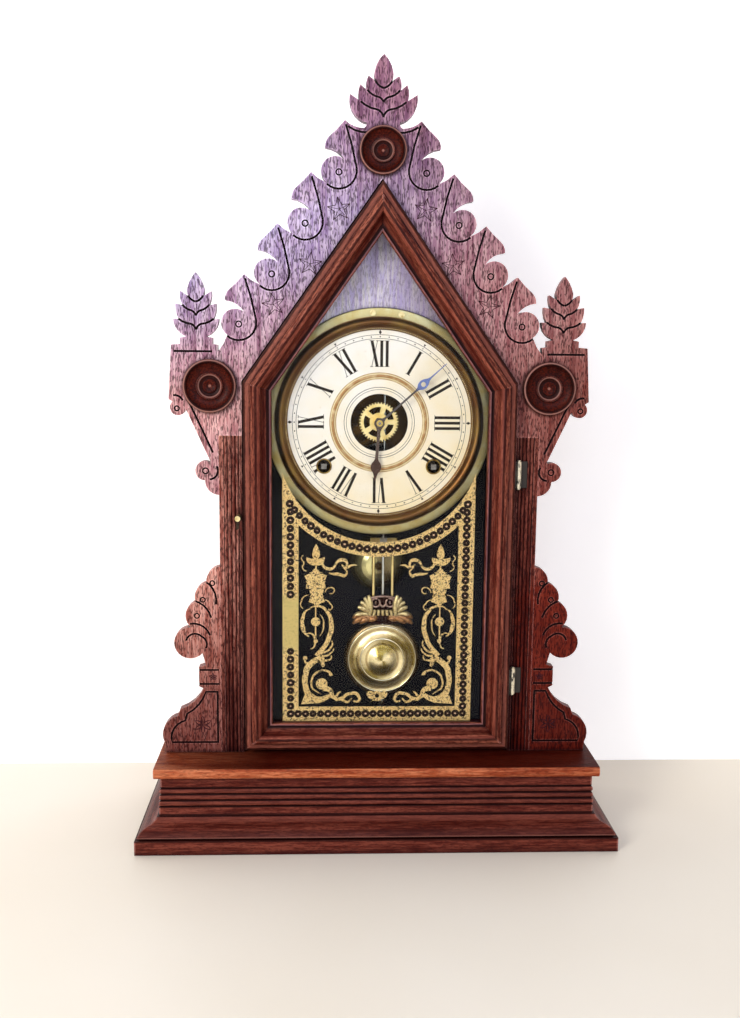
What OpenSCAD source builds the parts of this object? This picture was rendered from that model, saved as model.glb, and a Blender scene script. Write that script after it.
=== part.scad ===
// Parlor clock: a gothic walnut shelf clock with a glazed gable door, scroll-cut crest,
// spring-driven time and strike movement, bell and pendulum.
// X runs to the right, the front looks along -Y and Z is up. The origin is under the middle of the base.

/* [Base] */
// Width of the base at its plinth
base_w = 380.5; // [370:0.5:420]
// Depth of the base from front to back
base_d = 130; // [126:1:160]
// Height of the square plinth
plinth_h = 11.5; // [8:0.5:16]
// Height of the ogee above the plinth
ogee_h = 14; // [12:0.5:24]
// Height of the plain band under the reeds
flat_h = 7; // [5:0.5:12]
// Height of the three base reeds together
reeds_h = 15; // [9:0.5:18]
// Height of the plain band over the reeds
band_h = 9.5; // [5:0.5:14]
// How far the base mouldings draw in between plinth and shelf
base_rake = 18.4; // [17:0.2:24]
// Thickness of the base mouldings, from the plinth face to their flat back
base_wall = 30; // [26:0.5:36]
// Width of the shelf board on top of the base
shelf_w = 353.2; // [348:0.2:370]
// Thickness of the shelf board
shelf_t = 8; // [6:0.5:12]
// How far the shelf stands in front of the base's top band
shelf_nose = 4.6; // [3:0.2:8]

/* [Case] */
// How far the case front lies in front of the middle of the base
case_front = 15; // [12:0.5:20]
// Thickness of the crest, pilaster and wing boards
board_t = 9; // [7:0.5:12]
// Thickness of the case sides and roof boards
side_t = 10; // [8:0.5:12]
// Thickness of the back board
back_t = 5; // [4:0.5:8]
// Width of each pilaster, from the door's gap to the wing's seam
pilaster_w = 18.2; // [16.4:0.1:22]
// How far the pilasters' tops lie below the door's corners
pilaster_drop = 42; // [36:1:51]
// Reeds on each pilaster
pilaster_reeds = 4; // [2:1:5]
// Width of one pilaster reed
pilaster_reed_w = 3.1; // [2.4:0.1:3.4]
// Depth of the carver's grooves
groove_depth = 1.2; // [0.5:0.1:2]
// Width of the carver's grooves
groove_w = 1.7; // [0.8:0.1:2.2]

/* [Door] */
// Width of the door
door_w = 213; // [211:0.5:214]
// Height of the door's lower edge above the floor
door_foot = 70; // [67:0.5:80]
// Height of the corners where the gable starts
door_shoulder = 366; // [355:1:375]
// Rise of the gable from its corners to its point
gable_rise = 151.5; // [140:0.5:160]
// Width of the door's moulding
moulding_w = 22; // [20:0.5:24]
// Thickness of the door
door_t = 18; // [16:0.5:20]
// Thickness of the glass
glass_t = 2; // [1.5:0.1:3]
// Gap between the door and the boards around it
door_gap = 1.5; // [1.2:0.1:2.5]
// Angle through which the door opens
door_open = 95; // [60:5:95]

/* [Crest] */
// Distance between two scrolls of the crest, outwards
scroll_step_x = 25.5; // [24:0.1:26]
// How much steeper than the gable the scrolls of the crest step down, for each step
scroll_slip = 1.83; // [0:0.01:2.4]
// Height of the crest's point above the door's point
crest_rise = 92.5; // [88:0.5:102]
// Outer diameter of the two side rosettes
rosette_d = 41; // [36:0.5:44]
// Outer diameter of the top rosette
top_rosette_d = 35.5; // [30:0.5:38]
// Thickness of the rosettes at their rim
rosette_t = 5; // [3:0.1:5.2]

/* [Dial] */
// How far the middle of the dial lies below the door's corners
dial_drop = 32; // [28:1:38]
// Diameter of the dial's outer flange
dial_d = 180; // [174:1:188]
// Diameter of the visible paper
paper_d = 146; // [140:1:150]
// Diameter of the hole in the middle of the dial
dial_hole_d = 45.6; // [40:0.2:50]
// Distance of the winding holes from the middle, sideways
wind_x = 43.8; // [40:0.2:46]
// Distance of the winding holes from the middle, downwards
wind_z = 35; // [32:0.5:38]
// Length of the minute hand
minute_len = 70.7; // [60:0.1:72]
// Length of the hour hand
hour_len = 46.4; // [40:0.1:50]
// Minutes past the hour that the hands show
shown_minutes = 8; // [0:1:59]
// Hour that the hands show
shown_hour = 6; // [1:1:12]

/* [Pendulum and bell] */
// Sideways place of the pendulum, which passes beside the centre arbor
pend_x = 5.2; // [4.6:0.1:6]
// Height of the bob's middle
bob_z = 136; // [128:1:142]
// Diameter of the bob
bob_d = 64; // [56:1:70]
// Angle that the pendulum swings to each side
pend_swing = 2.5; // [1:0.5:3]
// Diameter of the bell
bell_d = 50; // [44:1:52]
// How far the bell's middle lies below the dial's
bell_drop = 124; // [120:1:134]

/* [Movement] */
// Thickness of the movement's two brass plates
plate_t = 1.6; // [1.2:0.1:2.2]
// Clear distance between the two plates
plate_gap = 24.8; // [24.4:0.1:26]
// Teeth of the two great wheels
great_teeth = 72; // [72:4:72]
// Teeth of the second wheel and of the centre wheel
wheel_teeth = 60; // [60:1:60]
// Radial play between an arbor and its hole
play = 0.05; // [0.03:0.01:0.08]

/* [Hidden] */
$fn = 64;

walnut = "saddlebrown";
dark_walnut = "#5a2f1c";
brass = "goldenrod";
steel = "slategray";

// Largest turn between two points of a bowed stretch
bow_step = 14;
// Small distance by which a cutter passes through
cut = 0.5;
// Seat clearance between loose neighbours
seat = 0.3;

// Half the glue line between two pieces that share a node
glue_line = 0.03;

// Heights of the base
moulding_h = plinth_h + ogee_h + flat_h + reeds_h + band_h;
shelf_top = moulding_h + shelf_t;

// Depths, front to back
front_y = -case_front;
board_back = front_y + board_t;
door_back = front_y + 3;
door_front = door_back - door_t;
case_back = base_d / 2 - back_t;
glass_y = door_back - 6;

// Gable geometry: e is the distance outwards from the door's outer edge
door_half = door_w / 2;
pilaster_in = door_half + door_gap;
front_half = pilaster_in + pilaster_w;
pilaster_top = door_shoulder - pilaster_drop;
crest_top = door_shoulder + gable_rise + crest_rise;
dial_z = door_shoulder - dial_drop;
bell_z = dial_z - bell_drop;
pitch = atan(gable_rise / door_half);
case_in = -3.5;
case_out = case_in + side_t;
function gx(e) = door_half + e;
function shoulder(e) = door_shoulder + e * tan((90 - pitch) / 2);
function apex(e) = door_shoulder + gable_rise + e / cos(pitch);
function gable(e, foot) = [[-gx(e), foot], [gx(e), foot], [gx(e), shoulder(e)], [0, apex(e)],
    [-gx(e), shoulder(e)]];
function stile_plan(e0, e1, z0, z1) = [[gx(e0), z0], [gx(e1), z1], [gx(e1), shoulder(e1)],
    [gx(e0), shoulder(e0)]];
function rafter_plan(e0, e1) = [[gx(e0), shoulder(e0)], [gx(e1), shoulder(e1)], [0, apex(e1)],
    [0, apex(e0)]];

// Outlines: each knot is [x, z, bow], and bow is how far the stretch to the next knot swells to its left
function turned(v, a) = [v[0] * cos(a) - v[1] * sin(a), v[0] * sin(a) + v[1] * cos(a)];
function bow(p, q, s) = s == 0 ? [p] :
    let (c = q - p, l = norm(c), u = [-c[1], c[0]] / l, r = (l * l / 4 + s * s) / (2 * s),
         k = (p + q) / 2 + u * (s - r), t = 4 * atan(2 * s / l), n = max(2, ceil(abs(t) / bow_step)))
    [for (i = [0 : n - 1]) k + turned(p - k, -t * i / n)];
function at(k) = [k[0], k[1]];
function swell(k) = len(k) > 2 ? k[2] : 0;
function outline(knots) = [for (i = [0 : len(knots) - 1])
    each bow(at(knots[i]), at(knots[(i + 1) % len(knots)]), swell(knots[i]))];
function line_of(knots) = concat([for (i = [0 : len(knots) - 2])
    each bow(at(knots[i]), at(knots[i + 1]), swell(knots[i]))], [at(knots[len(knots) - 1])]);
function shifted(knots, d) = [for (k = knots) [k[0] + d[0], k[1] + d[1], swell(k)]];
function reversed(v) = [for (i = [len(v) - 1 : -1 : 0]) v[i]];
function mirrored(v) = [for (p = v) [-p[0], p[1]]];
function rest_of(v) = [for (i = [1 : len(v) - 1]) v[i]];
// A band of width w along a line of points
function side_of(p, i) = let (a = p[max(i - 1, 0)], b = p[min(i + 1, len(p) - 1)], c = b - a)
    [-c[1], c[0]] / norm(c);
function band(p, w) = concat([for (i = [0 : len(p) - 1]) p[i] + side_of(p, i) * w / 2],
    [for (i = [len(p) - 1 : -1 : 0]) p[i] - side_of(p, i) * w / 2]);

// Placing: shapes are drawn as seen from the front and given a depth
module slab(y, t) { translate([0, y + t, 0]) rotate([90, 0, 0]) linear_extrude(t) children(); }
module rod(x, z, y0, y1, r) { translate([x, y1, z]) rotate([90, 0, 0]) cylinder(r = r, h = y1 - y0); }
module turned_at(x, y, z) { translate([x, y, z]) rotate([90, 0, 0]) rotate_extrude() children(); }
module both_sides() { children(); mirror([1, 0, 0]) children(); }
module left_of() { mirror([1, 0, 0]) children(); }
module groove(knots) {
    slab(front_y - cut, groove_depth + cut) polygon(band(line_of(knots), groove_w));
}
module eye_groove(x, z, r) {
    difference() {
        rod(x, z, front_y - cut, front_y + groove_depth, r);
        rod(x, z, front_y - 2 * cut, front_y + 2 * groove_depth, r - groove_w * 0.7);
    }
}

// Base: a mitred ogee-and-reed moulding on three sides, a back rail and the shelf board
ogee_top = plinth_h + ogee_h;
reed_foot = ogee_top + flat_h;
reed_h = reeds_h / 3;
reed_bow = 1.5;
reed_step = 0.3;
flat_in = base_rake - 1.2;
reed_in = flat_in + reed_bow - 0.4;
// Undercut line that parts the ogee from the plinth
quirk = 1.6;
base_profile = outline(concat([[0, 0], [0, plinth_h], [2.2 * quirk, plinth_h], [quirk, plinth_h + quirk, 1.3],
    [base_rake * 0.5, plinth_h + ogee_h * 0.6, -1.1], [flat_in - quirk, ogee_top - 0.6],
    [flat_in, ogee_top - 0.6], [flat_in, reed_foot]],
    [for (i = [0 : 2]) [reed_in + i * reed_step, reed_foot + i * reed_h, reed_bow]],
    [[reed_in + 3 * reed_step, reed_foot + reeds_h], [base_rake, reed_foot + reeds_h],
     [base_rake, moulding_h], [base_wall, moulding_h], [base_wall, 0]]));
half_w = base_w / 2;
half_d = base_d / 2;
module run_x(l) { translate([-l / 2, 0, 0]) rotate([90, 0, 90]) linear_extrude(l) children(); }

module base_front_moulding() color(dark_walnut) intersection() {
    translate([0, -half_d, 0]) run_x(base_w) polygon(base_profile);
    linear_extrude(moulding_h) polygon([[-half_w, -half_d], [half_w, -half_d],
        [half_w - base_wall, base_wall - half_d], [base_wall - half_w, base_wall - half_d]]);
}
module base_side_moulding() intersection() {
    translate([half_w, half_d, 0]) rotate([90, 0, 0]) linear_extrude(base_d) polygon(mirrored(base_profile));
    linear_extrude(moulding_h) polygon([[half_w, -half_d], [half_w, half_d], [half_w - base_wall, half_d],
        [half_w - base_wall, base_wall - half_d]]);
}
module base_side_mouldings() color(dark_walnut) both_sides() base_side_moulding();
rail_t = 10;
module base_back_rail() color(walnut)
    translate([base_wall - half_w, half_d - rail_t - 2, 0])
        cube([base_w - 2 * base_wall, rail_t, moulding_h]);
shelf_front = -half_d + base_rake - shelf_nose;
module base_shelf() color(dark_walnut) run_x(shelf_w)
    polygon(outline([[shelf_front, moulding_h, 1.4], [shelf_front, shelf_top], [half_d, shelf_top],
        [half_d, moulding_h]]));

// Blocks glued inside the base's corners and behind the wings
block = 14;
wing_lap = 10;
wing_blocks = [[90, 110], [door_shoulder - 36, 44]];
module glue_blocks() color(walnut) both_sides() {
    translate([half_w - base_wall - block, base_wall - half_d, moulding_h - 2 * block])
        cube([block, block, 2 * block]);
    for (z = wing_blocks)
        translate([gx(case_out), board_back, z[0]]) cube([front_half + wing_lap - gx(case_out), block, z[1]]);
}

// Case: sides and roof boards rebated at the front for the door, closed by the back board
stop_y = door_back + seat;
stop_out = door_gap - seat;
module case_side() {
    slab(board_back, case_back - board_back)
        polygon(stile_plan(case_in, case_out, shelf_top, shelf_top));
    slab(stop_y, case_back - stop_y) polygon(stile_plan(case_in, stop_out, shelf_top, shelf_top));
}
module case_sides() color(walnut) both_sides() case_side();
module roof_board() {
    slab(board_back, case_back - board_back) polygon(rafter_plan(case_in, case_out));
    slab(stop_y, case_back - stop_y) polygon(rafter_plan(case_in, stop_out));
}
module roof_boards() color(walnut) both_sides() translate([glue_line, 0, glue_line]) roof_board();
screw_head_r = 3.4;
screw_head_t = 1;
screw_sink = 0.2;
slot_w = 0.8;
module back_outline() polygon(gable(case_out, shelf_top));
back_screws = [[0.92, shelf_top + 30], [0.92, dial_z - 60], [0.92, door_shoulder - 15],
    [0.45, door_shoulder + 78]];
function back_screw_x(k) = k[0] < 0.5 ? door_half * 0.51 : gx(case_in + side_t / 2);
module back_board() color(walnut) difference() {
    slab(case_back, back_t) back_outline();
    both_sides() for (k = back_screws)
        rod(back_screw_x(k), k[1], half_d - screw_sink - screw_head_t, half_d + cut, screw_head_r + screw_sink);
}
// Screws: those of the back board, of the dial flange and of the hook
hook_x = -door_half - 4.5;
hook_z = door_shoulder - 106;
hook_pin_r = 1.1;
hook_head_r = 2.2;
hook_head_t = 1.3;
flange_head_r = 2.4;
flange_screws = [-4, 11];
module screw_back(x, z) {
    difference() {
        rod(x, z, half_d - screw_sink - screw_head_t, half_d - screw_sink, screw_head_r);
        translate([x, half_d, z]) cube([3 * screw_head_r, screw_sink + screw_head_t, slot_w], center = true);
    }
}
module case_screws() color(steel) {
    both_sides() for (k = back_screws) screw_back(back_screw_x(k), k[1]);
    for (a = flange_screws) rod(flange_screw_r * sin(a), dial_z + flange_screw_r * cos(a),
        bezel_y - flange_lift - screw_head_t - seat, bezel_y - flange_lift - seat, flange_head_r);
    difference() {
        union() {
            rod(hook_x, hook_z, hook_front - hook_head_t, hook_front - seat / 2, hook_head_r);
            rod(hook_x, hook_z, hook_front - seat / 2 - 0.01, hook_back + seat / 2 + 0.01, hook_pin_r);
            rod(hook_x, hook_z, hook_back + seat / 2, front_y, hook_head_r - 0.2);
        }
        translate([hook_x, hook_front - hook_head_t, hook_z])
            cube([3 * hook_head_r, slot_w, slot_w], center = true);
    }
}

// Facade: reeded pilasters and the scroll-cut crest board with its leaf finial
reeds_w = pilaster_reeds * pilaster_reed_w;
reed_start = (pilaster_in + front_half - reeds_w) / 2 - 0.6;
reed_dip = 1.3;
pilaster_section = outline(concat([[pilaster_in, board_back], [pilaster_in, front_y],
    [reed_start, front_y]],
    [for (i = [0 : pilaster_reeds - 1]) [reed_start + i * pilaster_reed_w, front_y + reed_dip, -reed_dip]],
    [[reed_start + reeds_w, front_y + reed_dip], [reed_start + reeds_w, front_y], [front_half, front_y],
     [front_half, board_back]]));
module pilaster() translate([0, 0, shelf_top])
    linear_extrude(pilaster_top - shelf_top) polygon(pilaster_section);
module pilaster_right() color(walnut) pilaster();
module pilaster_left() color(walnut) left_of() pilaster();

// Where the wings' finials stand
wing_reach = 16.3;
wing_axis = front_half + wing_reach;
wing_cap_z = door_shoulder + 28;
// One leaf finial, right half, from its tip down; the heights are below the tip
crest_leaf = [[0, 0, 1.2], [7, -12.5, 0.6], [6.3, -19.5], [11.5, -15.7, 1], [13, -26], [17.7, -22, 1],
    [18.5, -33.4], [25.5, -29, 2.6], [18.9, -46.5, 0.5], [12.5, -49.4, -0.6], [14.5, -53.5, -1.5]];
first_scroll = [28.9, -47.9];
scroll = [[0, 0, -0.4], [11.5, -11.6, 1], [15, -19.8, -2.1], [-0.2, -28.9, 11.6], [13.2, -46, -0.8]];
scroll_count = 4;
scroll_step_z = scroll_step_x * tan(pitch) + scroll_slip;
scroll_eye = [4.4, -37.8];
function scroll_at(i) = first_scroll + [i * scroll_step_x, -i * scroll_step_z] + [0, crest_top];
crest_right = concat(shifted(crest_leaf, [0, crest_top]),
    [for (i = [0 : scroll_count - 1]) each shifted(scroll, scroll_at(i))]);
crest_knots = concat(crest_right, [[front_half, wing_cap_z - 5.5], [front_half, pilaster_top],
    [pilaster_in, pilaster_top]]);
crest_side = line_of(crest_knots);
// Grooves between the leaves, each from the middle out to its notch
crest_leaf_grooves = [[[0, -24.6, -1], [6.8, -18.6]], [[0, -34.6, 0.6], [3.6, -31, -1], [12.4, -25.8]],
    [[0, -45.6, 1], [4.6, -40, -1.1], [17.4, -34.2]]];
module leaf_grooves(lines, origin) {
    for (line = lines) groove(shifted(line, origin));
}
module crest_board() color(walnut) difference() {
    slab(front_y, board_t) difference() {
        polygon(concat(crest_side, reversed(mirrored(rest_of(crest_side)))));
        polygon(gable(door_gap, pilaster_top - 1));
    }
    both_sides() {
        for (i = [0 : scroll_count - 1]) {
            p = scroll_at(i);
            groove(shifted([[-0.6, -3, -0.6], [-8.4, -32, -10.2], [13.6, -46.6]], p));
            eye_groove(p[0] + scroll_eye[0], p[1] + scroll_eye[1], 2.8);
        }
        groove(shifted([[26.6, -52.4, 1.4], [11, -56.6]], [0, crest_top]));
        leaf_grooves(crest_leaf_grooves, [0, crest_top]);
    }
}

// Wings: the upper pair carries a leaf finial, the lower pair stands on the shelf
wing_leaf = [[0, 54.8, 0.9], [6.5, 42, 0.4], [5.6, 36.5], [11.9, 40.6, 0.8], [10.2, 30], [15.6, 31.2, 0.8],
    [13.4, 19.5], [17.5, 19.7, 2.6], [7.8, 6.2], [12.4, 5.3], [12.4, 0.6]];
wing_origin = [wing_axis, wing_cap_z];
wing_tail = [[19.5, 0], [22.1, -41.9], [19.1, -43.8, 5.9], [11.2, -53.3], [8.5, -50.3], [-9.5, -89.8],
    [-8.9, -91, 9.4], [-5.4, -105.5, 3.3], [-wing_reach, -117]];
upper_wing_side = line_of(shifted(concat(wing_leaf, wing_tail), wing_origin));
upper_wing_inner = [for (p = line_of(shifted(wing_leaf, [0, wing_cap_z]))) [wing_axis - p[0], p[1]]];
wing_leaf_grooves = [[[0, 32.6, -0.8], [5.8, 37.2]], [[0, 22, 0.5], [3, 25.8, -0.8], [10.4, 30.4]],
    [[0, 11.4, 0.7], [3.8, 15.8, -0.9], [13.6, 19.8]]];
module upper_wing() difference() {
    slab(front_y, board_t)
        polygon(concat([[front_half, wing_cap_z]], reversed(upper_wing_inner), rest_of(upper_wing_side)));
    eye_groove(wing_axis + 15.7, wing_cap_z - 49.1, 2.4);
    eye_groove(wing_axis - 5.9, wing_cap_z - 97.9, 2.8);
    groove(shifted([[9, -38], [-11.9, -83.5]], wing_origin));
    groove(shifted([[18.5, -39, -1.5], [11, -43]], wing_origin));
    groove(shifted([[-14.5, -94, -3.5], [-8.9, -104.6]], wing_origin));
    groove(shifted([[4 - wing_reach, -5], [17.5, -5]], wing_origin));
    translate([wing_axis, 0, 0]) both_sides() leaf_grooves(wing_leaf_grooves, [0, wing_cap_z]);
}
module upper_wing_right() color(walnut) upper_wing();
module upper_wing_left() color(walnut) left_of() upper_wing();

lower_knots = [[0, 154.5, 3.6], [11, 141.4, 4], [19.8, 125.8, 4.2], [26.6, 108.5], [23.8, 104.7, 18.5],
    [14.8, 83.3], [12.1, 73.3], [17.8, 71.6], [17.8, 55.7], [14.2, 53.9, -2.8], [33.5, 36.2],
    [35.4, 30.8, 6.2], [46, 7.6, -0.4], [45.3, 0], [0, 0]];
lower_origin = [front_half, shelf_top];
// Its carving: a line from each notch, the volute, the block's two lines and the panel's border
lower_lines = [[[11.8, 142.4, -3.2], [3.6, 123.6]], [[20.7, 126.6, -2.6], [7.4, 112.6]],
    [[24.6, 107.6, -3.6], [8.6, 98]], [[27.6, 93.6, -3.8], [15.6, 97.4, -2.2], [11.8, 87.4]],
    [[1.5, 69.3], [18, 69.3]], [[1.5, 57.6], [18, 57.6]], [[3, 51], [3, 8.4]],
    [[2.2, 51], [12.4, 51, -2.4], [28, 32.4], [29.4, 26.8, 4.4], [40.4, 8.4], [2.2, 8.4]]];
lower_eyes = [[6.2, 141], [14, 127.4], [18.8, 114.2]];
module lower_wing() difference() {
    slab(front_y, board_t) polygon(outline(shifted(lower_knots, lower_origin)));
    for (line = lower_lines) groove(shifted(line, lower_origin));
    for (k = lower_eyes) eye_groove(lower_origin[0] + k[0], lower_origin[1] + k[1], 2.5);
}
module lower_wing_right() color(walnut) lower_wing();
module lower_wing_left() color(walnut) left_of() lower_wing();

// Rosettes: turned, glued on over the joints of crest and wings
rosette_x = front_half + 6.3;
rosette_z = door_shoulder - 3.5;
top_rosette_z = apex(door_gap) + top_rosette_d / 2 + 2.44;
module rosette(x, z, d) {
    r = d / 2;
    turned_at(x, front_y, z) polygon(line_of([[0, 0], [r, 0], [r, rosette_t * 0.5, -0.9],
        [r * 0.92, rosette_t, -0.2], [r * 0.87, rosette_t * 0.9, 0.9], [r * 0.52, rosette_t * 0.3],
        [r * 0.5, rosette_t * 0.62, -0.2], [r * 0.46, rosette_t * 0.62, 0.5], [r * 0.28, rosette_t * 0.24],
        [r * 0.26, rosette_t * 0.36], [r * 0.22, rosette_t * 0.36, 0.2], [0, rosette_t * 0.16]]));
}
module rosette_left() color(dark_walnut) rosette(-rosette_x, rosette_z, rosette_d);
module rosette_right() color(dark_walnut) rosette(rosette_x, rosette_z, rosette_d);
module rosette_top() color(dark_walnut) rosette(0, top_rosette_z, top_rosette_d);

// Door: five mitred mouldings; t runs inwards from the outer edge
flat_t = 6;
lip_t = 2.7;
cove_t = moulding_w - lip_t;
rebate_t = moulding_w - 5;
door_section = outline([[0, door_back], [0, door_front + 6], [flat_t, door_front + 6],
    [flat_t, door_front + 1.8, -1.8], [flat_t + 7.5, door_front + 1.8, 1.6],
    [cove_t, door_front + 7.6, -0.9], [moulding_w, door_front + 7.6], [moulding_w, glass_y],
    [rebate_t, glass_y], [rebate_t, door_back]]);
section_right = [for (p = door_section) [door_half - p[0], p[1]]];
module mitred(plan) intersection() {
    children();
    slab(door_front - cut, door_t + 2 * cut) polygon(plan);
}
module stile() mitred(stile_plan(-moulding_w, 0, door_foot + moulding_w, door_foot))
    translate([0, 0, door_foot]) linear_extrude(door_shoulder - door_foot) polygon(section_right);
rafter_len = norm([door_half, gable_rise]);
module rafter() mitred(rafter_plan(-moulding_w, 0))
    translate([door_half, 0, door_shoulder]) rotate([0, pitch - 90, 0]) translate([-door_half, 0, -moulding_w])
        linear_extrude(rafter_len + moulding_w) polygon(section_right);
module door_stile_right() color(dark_walnut) stile();
module door_stile_left() color(dark_walnut) left_of() stile();
module door_rafter_right() color(dark_walnut) rafter();
module door_rafter_left() color(dark_walnut) left_of() rafter();
module door_rail() color(dark_walnut)
    mitred([[-door_half, door_foot], [door_half, door_foot], [door_half - moulding_w, door_foot + moulding_w],
        [moulding_w - door_half, door_foot + moulding_w]])
    run_x(door_w) polygon([for (p = door_section) [p[1], door_foot + p[0]]]);
glass_e = -rebate_t - seat;
module door_glass() color("lightsteelblue", 0.35)
    slab(glass_y, glass_t) polygon(gable(glass_e, door_foot + rebate_t + seat));
bead_w = 4;
bead_t = 3;
module bead_side() {
    slab(glass_y + glass_t, bead_t) {
        polygon(stile_plan(glass_e - bead_w, glass_e, door_foot - glass_e + bead_w, door_foot - glass_e));
        polygon(rafter_plan(glass_e - bead_w, glass_e));
    }
}
module glass_beads() color(dark_walnut) {
    both_sides() translate([glue_line, 0, glue_line]) bead_side();
    slab(glass_y + glass_t, bead_t) polygon([[-gx(glass_e), door_foot - glass_e],
        [gx(glass_e), door_foot - glass_e], [gx(glass_e - bead_w), door_foot - glass_e + bead_w],
        [-gx(glass_e - bead_w), door_foot - glass_e + bead_w]]);
}

// Hinges: the leaf on the pilaster has the outer knuckles, the door's leaf has the middle one
hinge_x = door_half + door_gap + 2.2;
hinge_y = front_y - 2.6;
knuckle_r = 2.2;
hinge_pin_r = 0.9;
hinge_h = 21;
hinge_feet = [door_foot + 45, door_shoulder - 82];
knuckle_h = (hinge_h - 2 * seat) / 3;
leaf_t = 1;
leaf_w = 9.5;
case_leaf_w = 7;
pin_head_t = 0.8;
module upright(x, y, z, r, h) { translate([x, y, z]) cylinder(r = r, h = h); }
module case_leaf(z) difference() {
    union() {
        translate([hinge_x, front_y - leaf_t, z]) cube([case_leaf_w, leaf_t, hinge_h]);
        upright(hinge_x, hinge_y, z, knuckle_r, knuckle_h);
        upright(hinge_x, hinge_y, z + hinge_h - knuckle_h, knuckle_r, knuckle_h);
    }
    upright(hinge_x, hinge_y, z - 1, hinge_pin_r + play, hinge_h + 2);
    upright(hinge_x, hinge_y, z + knuckle_h, knuckle_r + seat, hinge_h - 2 * knuckle_h);
}
module case_hinge_leaves() color("silver") for (z = hinge_feet) case_leaf(z);
module door_leaf(z) difference() {
    union() {
        translate([door_half, hinge_y - leaf_w / 2, z]) cube([leaf_t, leaf_w, hinge_h]);
        translate([door_half, hinge_y - leaf_t, z + knuckle_h + seat])
            cube([hinge_x - door_half, 2 * leaf_t, knuckle_h]);
        upright(hinge_x, hinge_y, z + knuckle_h + seat, knuckle_r, knuckle_h);
    }
    upright(hinge_x, hinge_y, z - 1, hinge_pin_r + play, hinge_h + 2);
}
module door_hinge_leaves() color("silver") for (z = hinge_feet) door_leaf(z);
module hinge_pins() color("silver") for (z = hinge_feet) {
    upright(hinge_x, hinge_y, z - seat, hinge_pin_r, hinge_h + 2 * seat);
    upright(hinge_x, hinge_y, z + hinge_h + seat, hinge_pin_r + 0.6, pin_head_t);
    upright(hinge_x, hinge_y, z - seat - pin_head_t, hinge_pin_r + 0.6, pin_head_t);
}

// Hook that turns over the door's outer flat
hook_len = 9.2;
hook_t = 1.2;
hook_back = door_front + 5.3;
hook_front = hook_back - hook_t;
module door_hook() color("#2b2622") difference() {
    union() {
        rod(hook_x, hook_z, hook_front, hook_back, 2.3);
        slab(hook_front, hook_t) polygon(outline([[hook_x - 1.3, hook_z - 1], [hook_x + 1.3, hook_z - 1],
            [hook_x + 1, hook_z - hook_len + 2, 0.5], [hook_x - 1.2, hook_z - hook_len]]));
    }
    rod(hook_x, hook_z, hook_front - cut, hook_back + cut, hook_pin_r + play);
}

// Dial: a flat pan with a printed paper face, a rolled brass bezel and pressed rings
dial_y = front_y + 12;
pan_t = 0.8;
dial_r = dial_d / 2;
bezel_y = dial_y;
bezel_r = 83.5;
flange_screw_r = bezel_r + flange_head_r + seat;
flange_lift = 1.2;
wind_hole_r = 5.5;
ring_r = 37;
module at_dial() { translate([0, 0, dial_z]) children(); }
module winding_pair() { both_sides() translate([wind_x, 0, -wind_z]) children(); }
module dial_pan() color("ivory") at_dial() difference() {
    rod(0, 0, dial_y, dial_y + pan_t, dial_r - 1);
    rod(0, 0, dial_y - cut, dial_y + pan_t + cut, dial_hole_d / 2);
    winding_pair() rod(0, 0, dial_y - cut, dial_y + pan_t + cut, wind_hole_r);
}
module dial_bezel() color(brass) turned_at(0, bezel_y, dial_z)
    polygon(line_of([[paper_d / 2, 0], [paper_d / 2, 1.4, 0.7], [paper_d / 2 + 3, 4.4, 0.8],
        [bezel_r - 2.2, 4.8, 1], [bezel_r, flange_lift + 0.2], [dial_r - 2, flange_lift, 0.4], [dial_r, 0]]));
module pressed_ring(r0, r1, h) turned_at(0, dial_y, 0)
    polygon(line_of([[r0, 0], [r0, h * 0.4, 0.6 * h], [r1, h * 0.4], [r1, 0]]));
module dial_grommets() color(brass) at_dial() {
    pressed_ring(dial_hole_d / 2, dial_hole_d / 2 + 1.8, 1);
    pressed_ring(ring_r - 2.4, ring_r + 2.4, 1.4);
    winding_pair() pressed_ring(wind_hole_r, wind_hole_r + 1.3, 1);
}
panel_foot = door_shoulder - 14;
panel_t = 5;
panel_hole_r = 68;
module gable_panel() color(walnut) slab(dial_y + pan_t, panel_t) difference() {
    intersection() {
        polygon(gable(case_in, shelf_top));
        translate([-door_half, panel_foot]) square([door_w, gable_rise * 2]);
    }
    translate([0, dial_z]) circle(r = panel_hole_r);
}
cleat_in = 78;
cleat_t = 12;
cleat_h = 40;
cleat_drop = 34;
module dial_cleats() color(walnut) both_sides()
    translate([cleat_in, dial_y + pan_t, dial_z - cleat_drop]) cube([gx(case_in) - cleat_in, cleat_t, cleat_h]);

// Movement: two plates on pillars; x and z are from the middle of the dial
plate_y = dial_y + 20;
back_plate_y = plate_y + plate_t + plate_gap;
arbor_r = 1.2;
centre_r = 1.6;
wind_r = 3;
pillar_spots = [[50, 40], [30, -64]];
plate_edge = [[40, -70], [64, -50], [64, -20], [56, 46], [20, 62]];
// Round openings in the plates: x, z and radius
plate_windows = [[30, 26, 8], [-30, 26, 8], [0, -30, 12]];
pillar_r = 3;
back_post_r = 4;
nut_r = 2.4;
nut_t = 2;
stud_r = 2.6;
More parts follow.
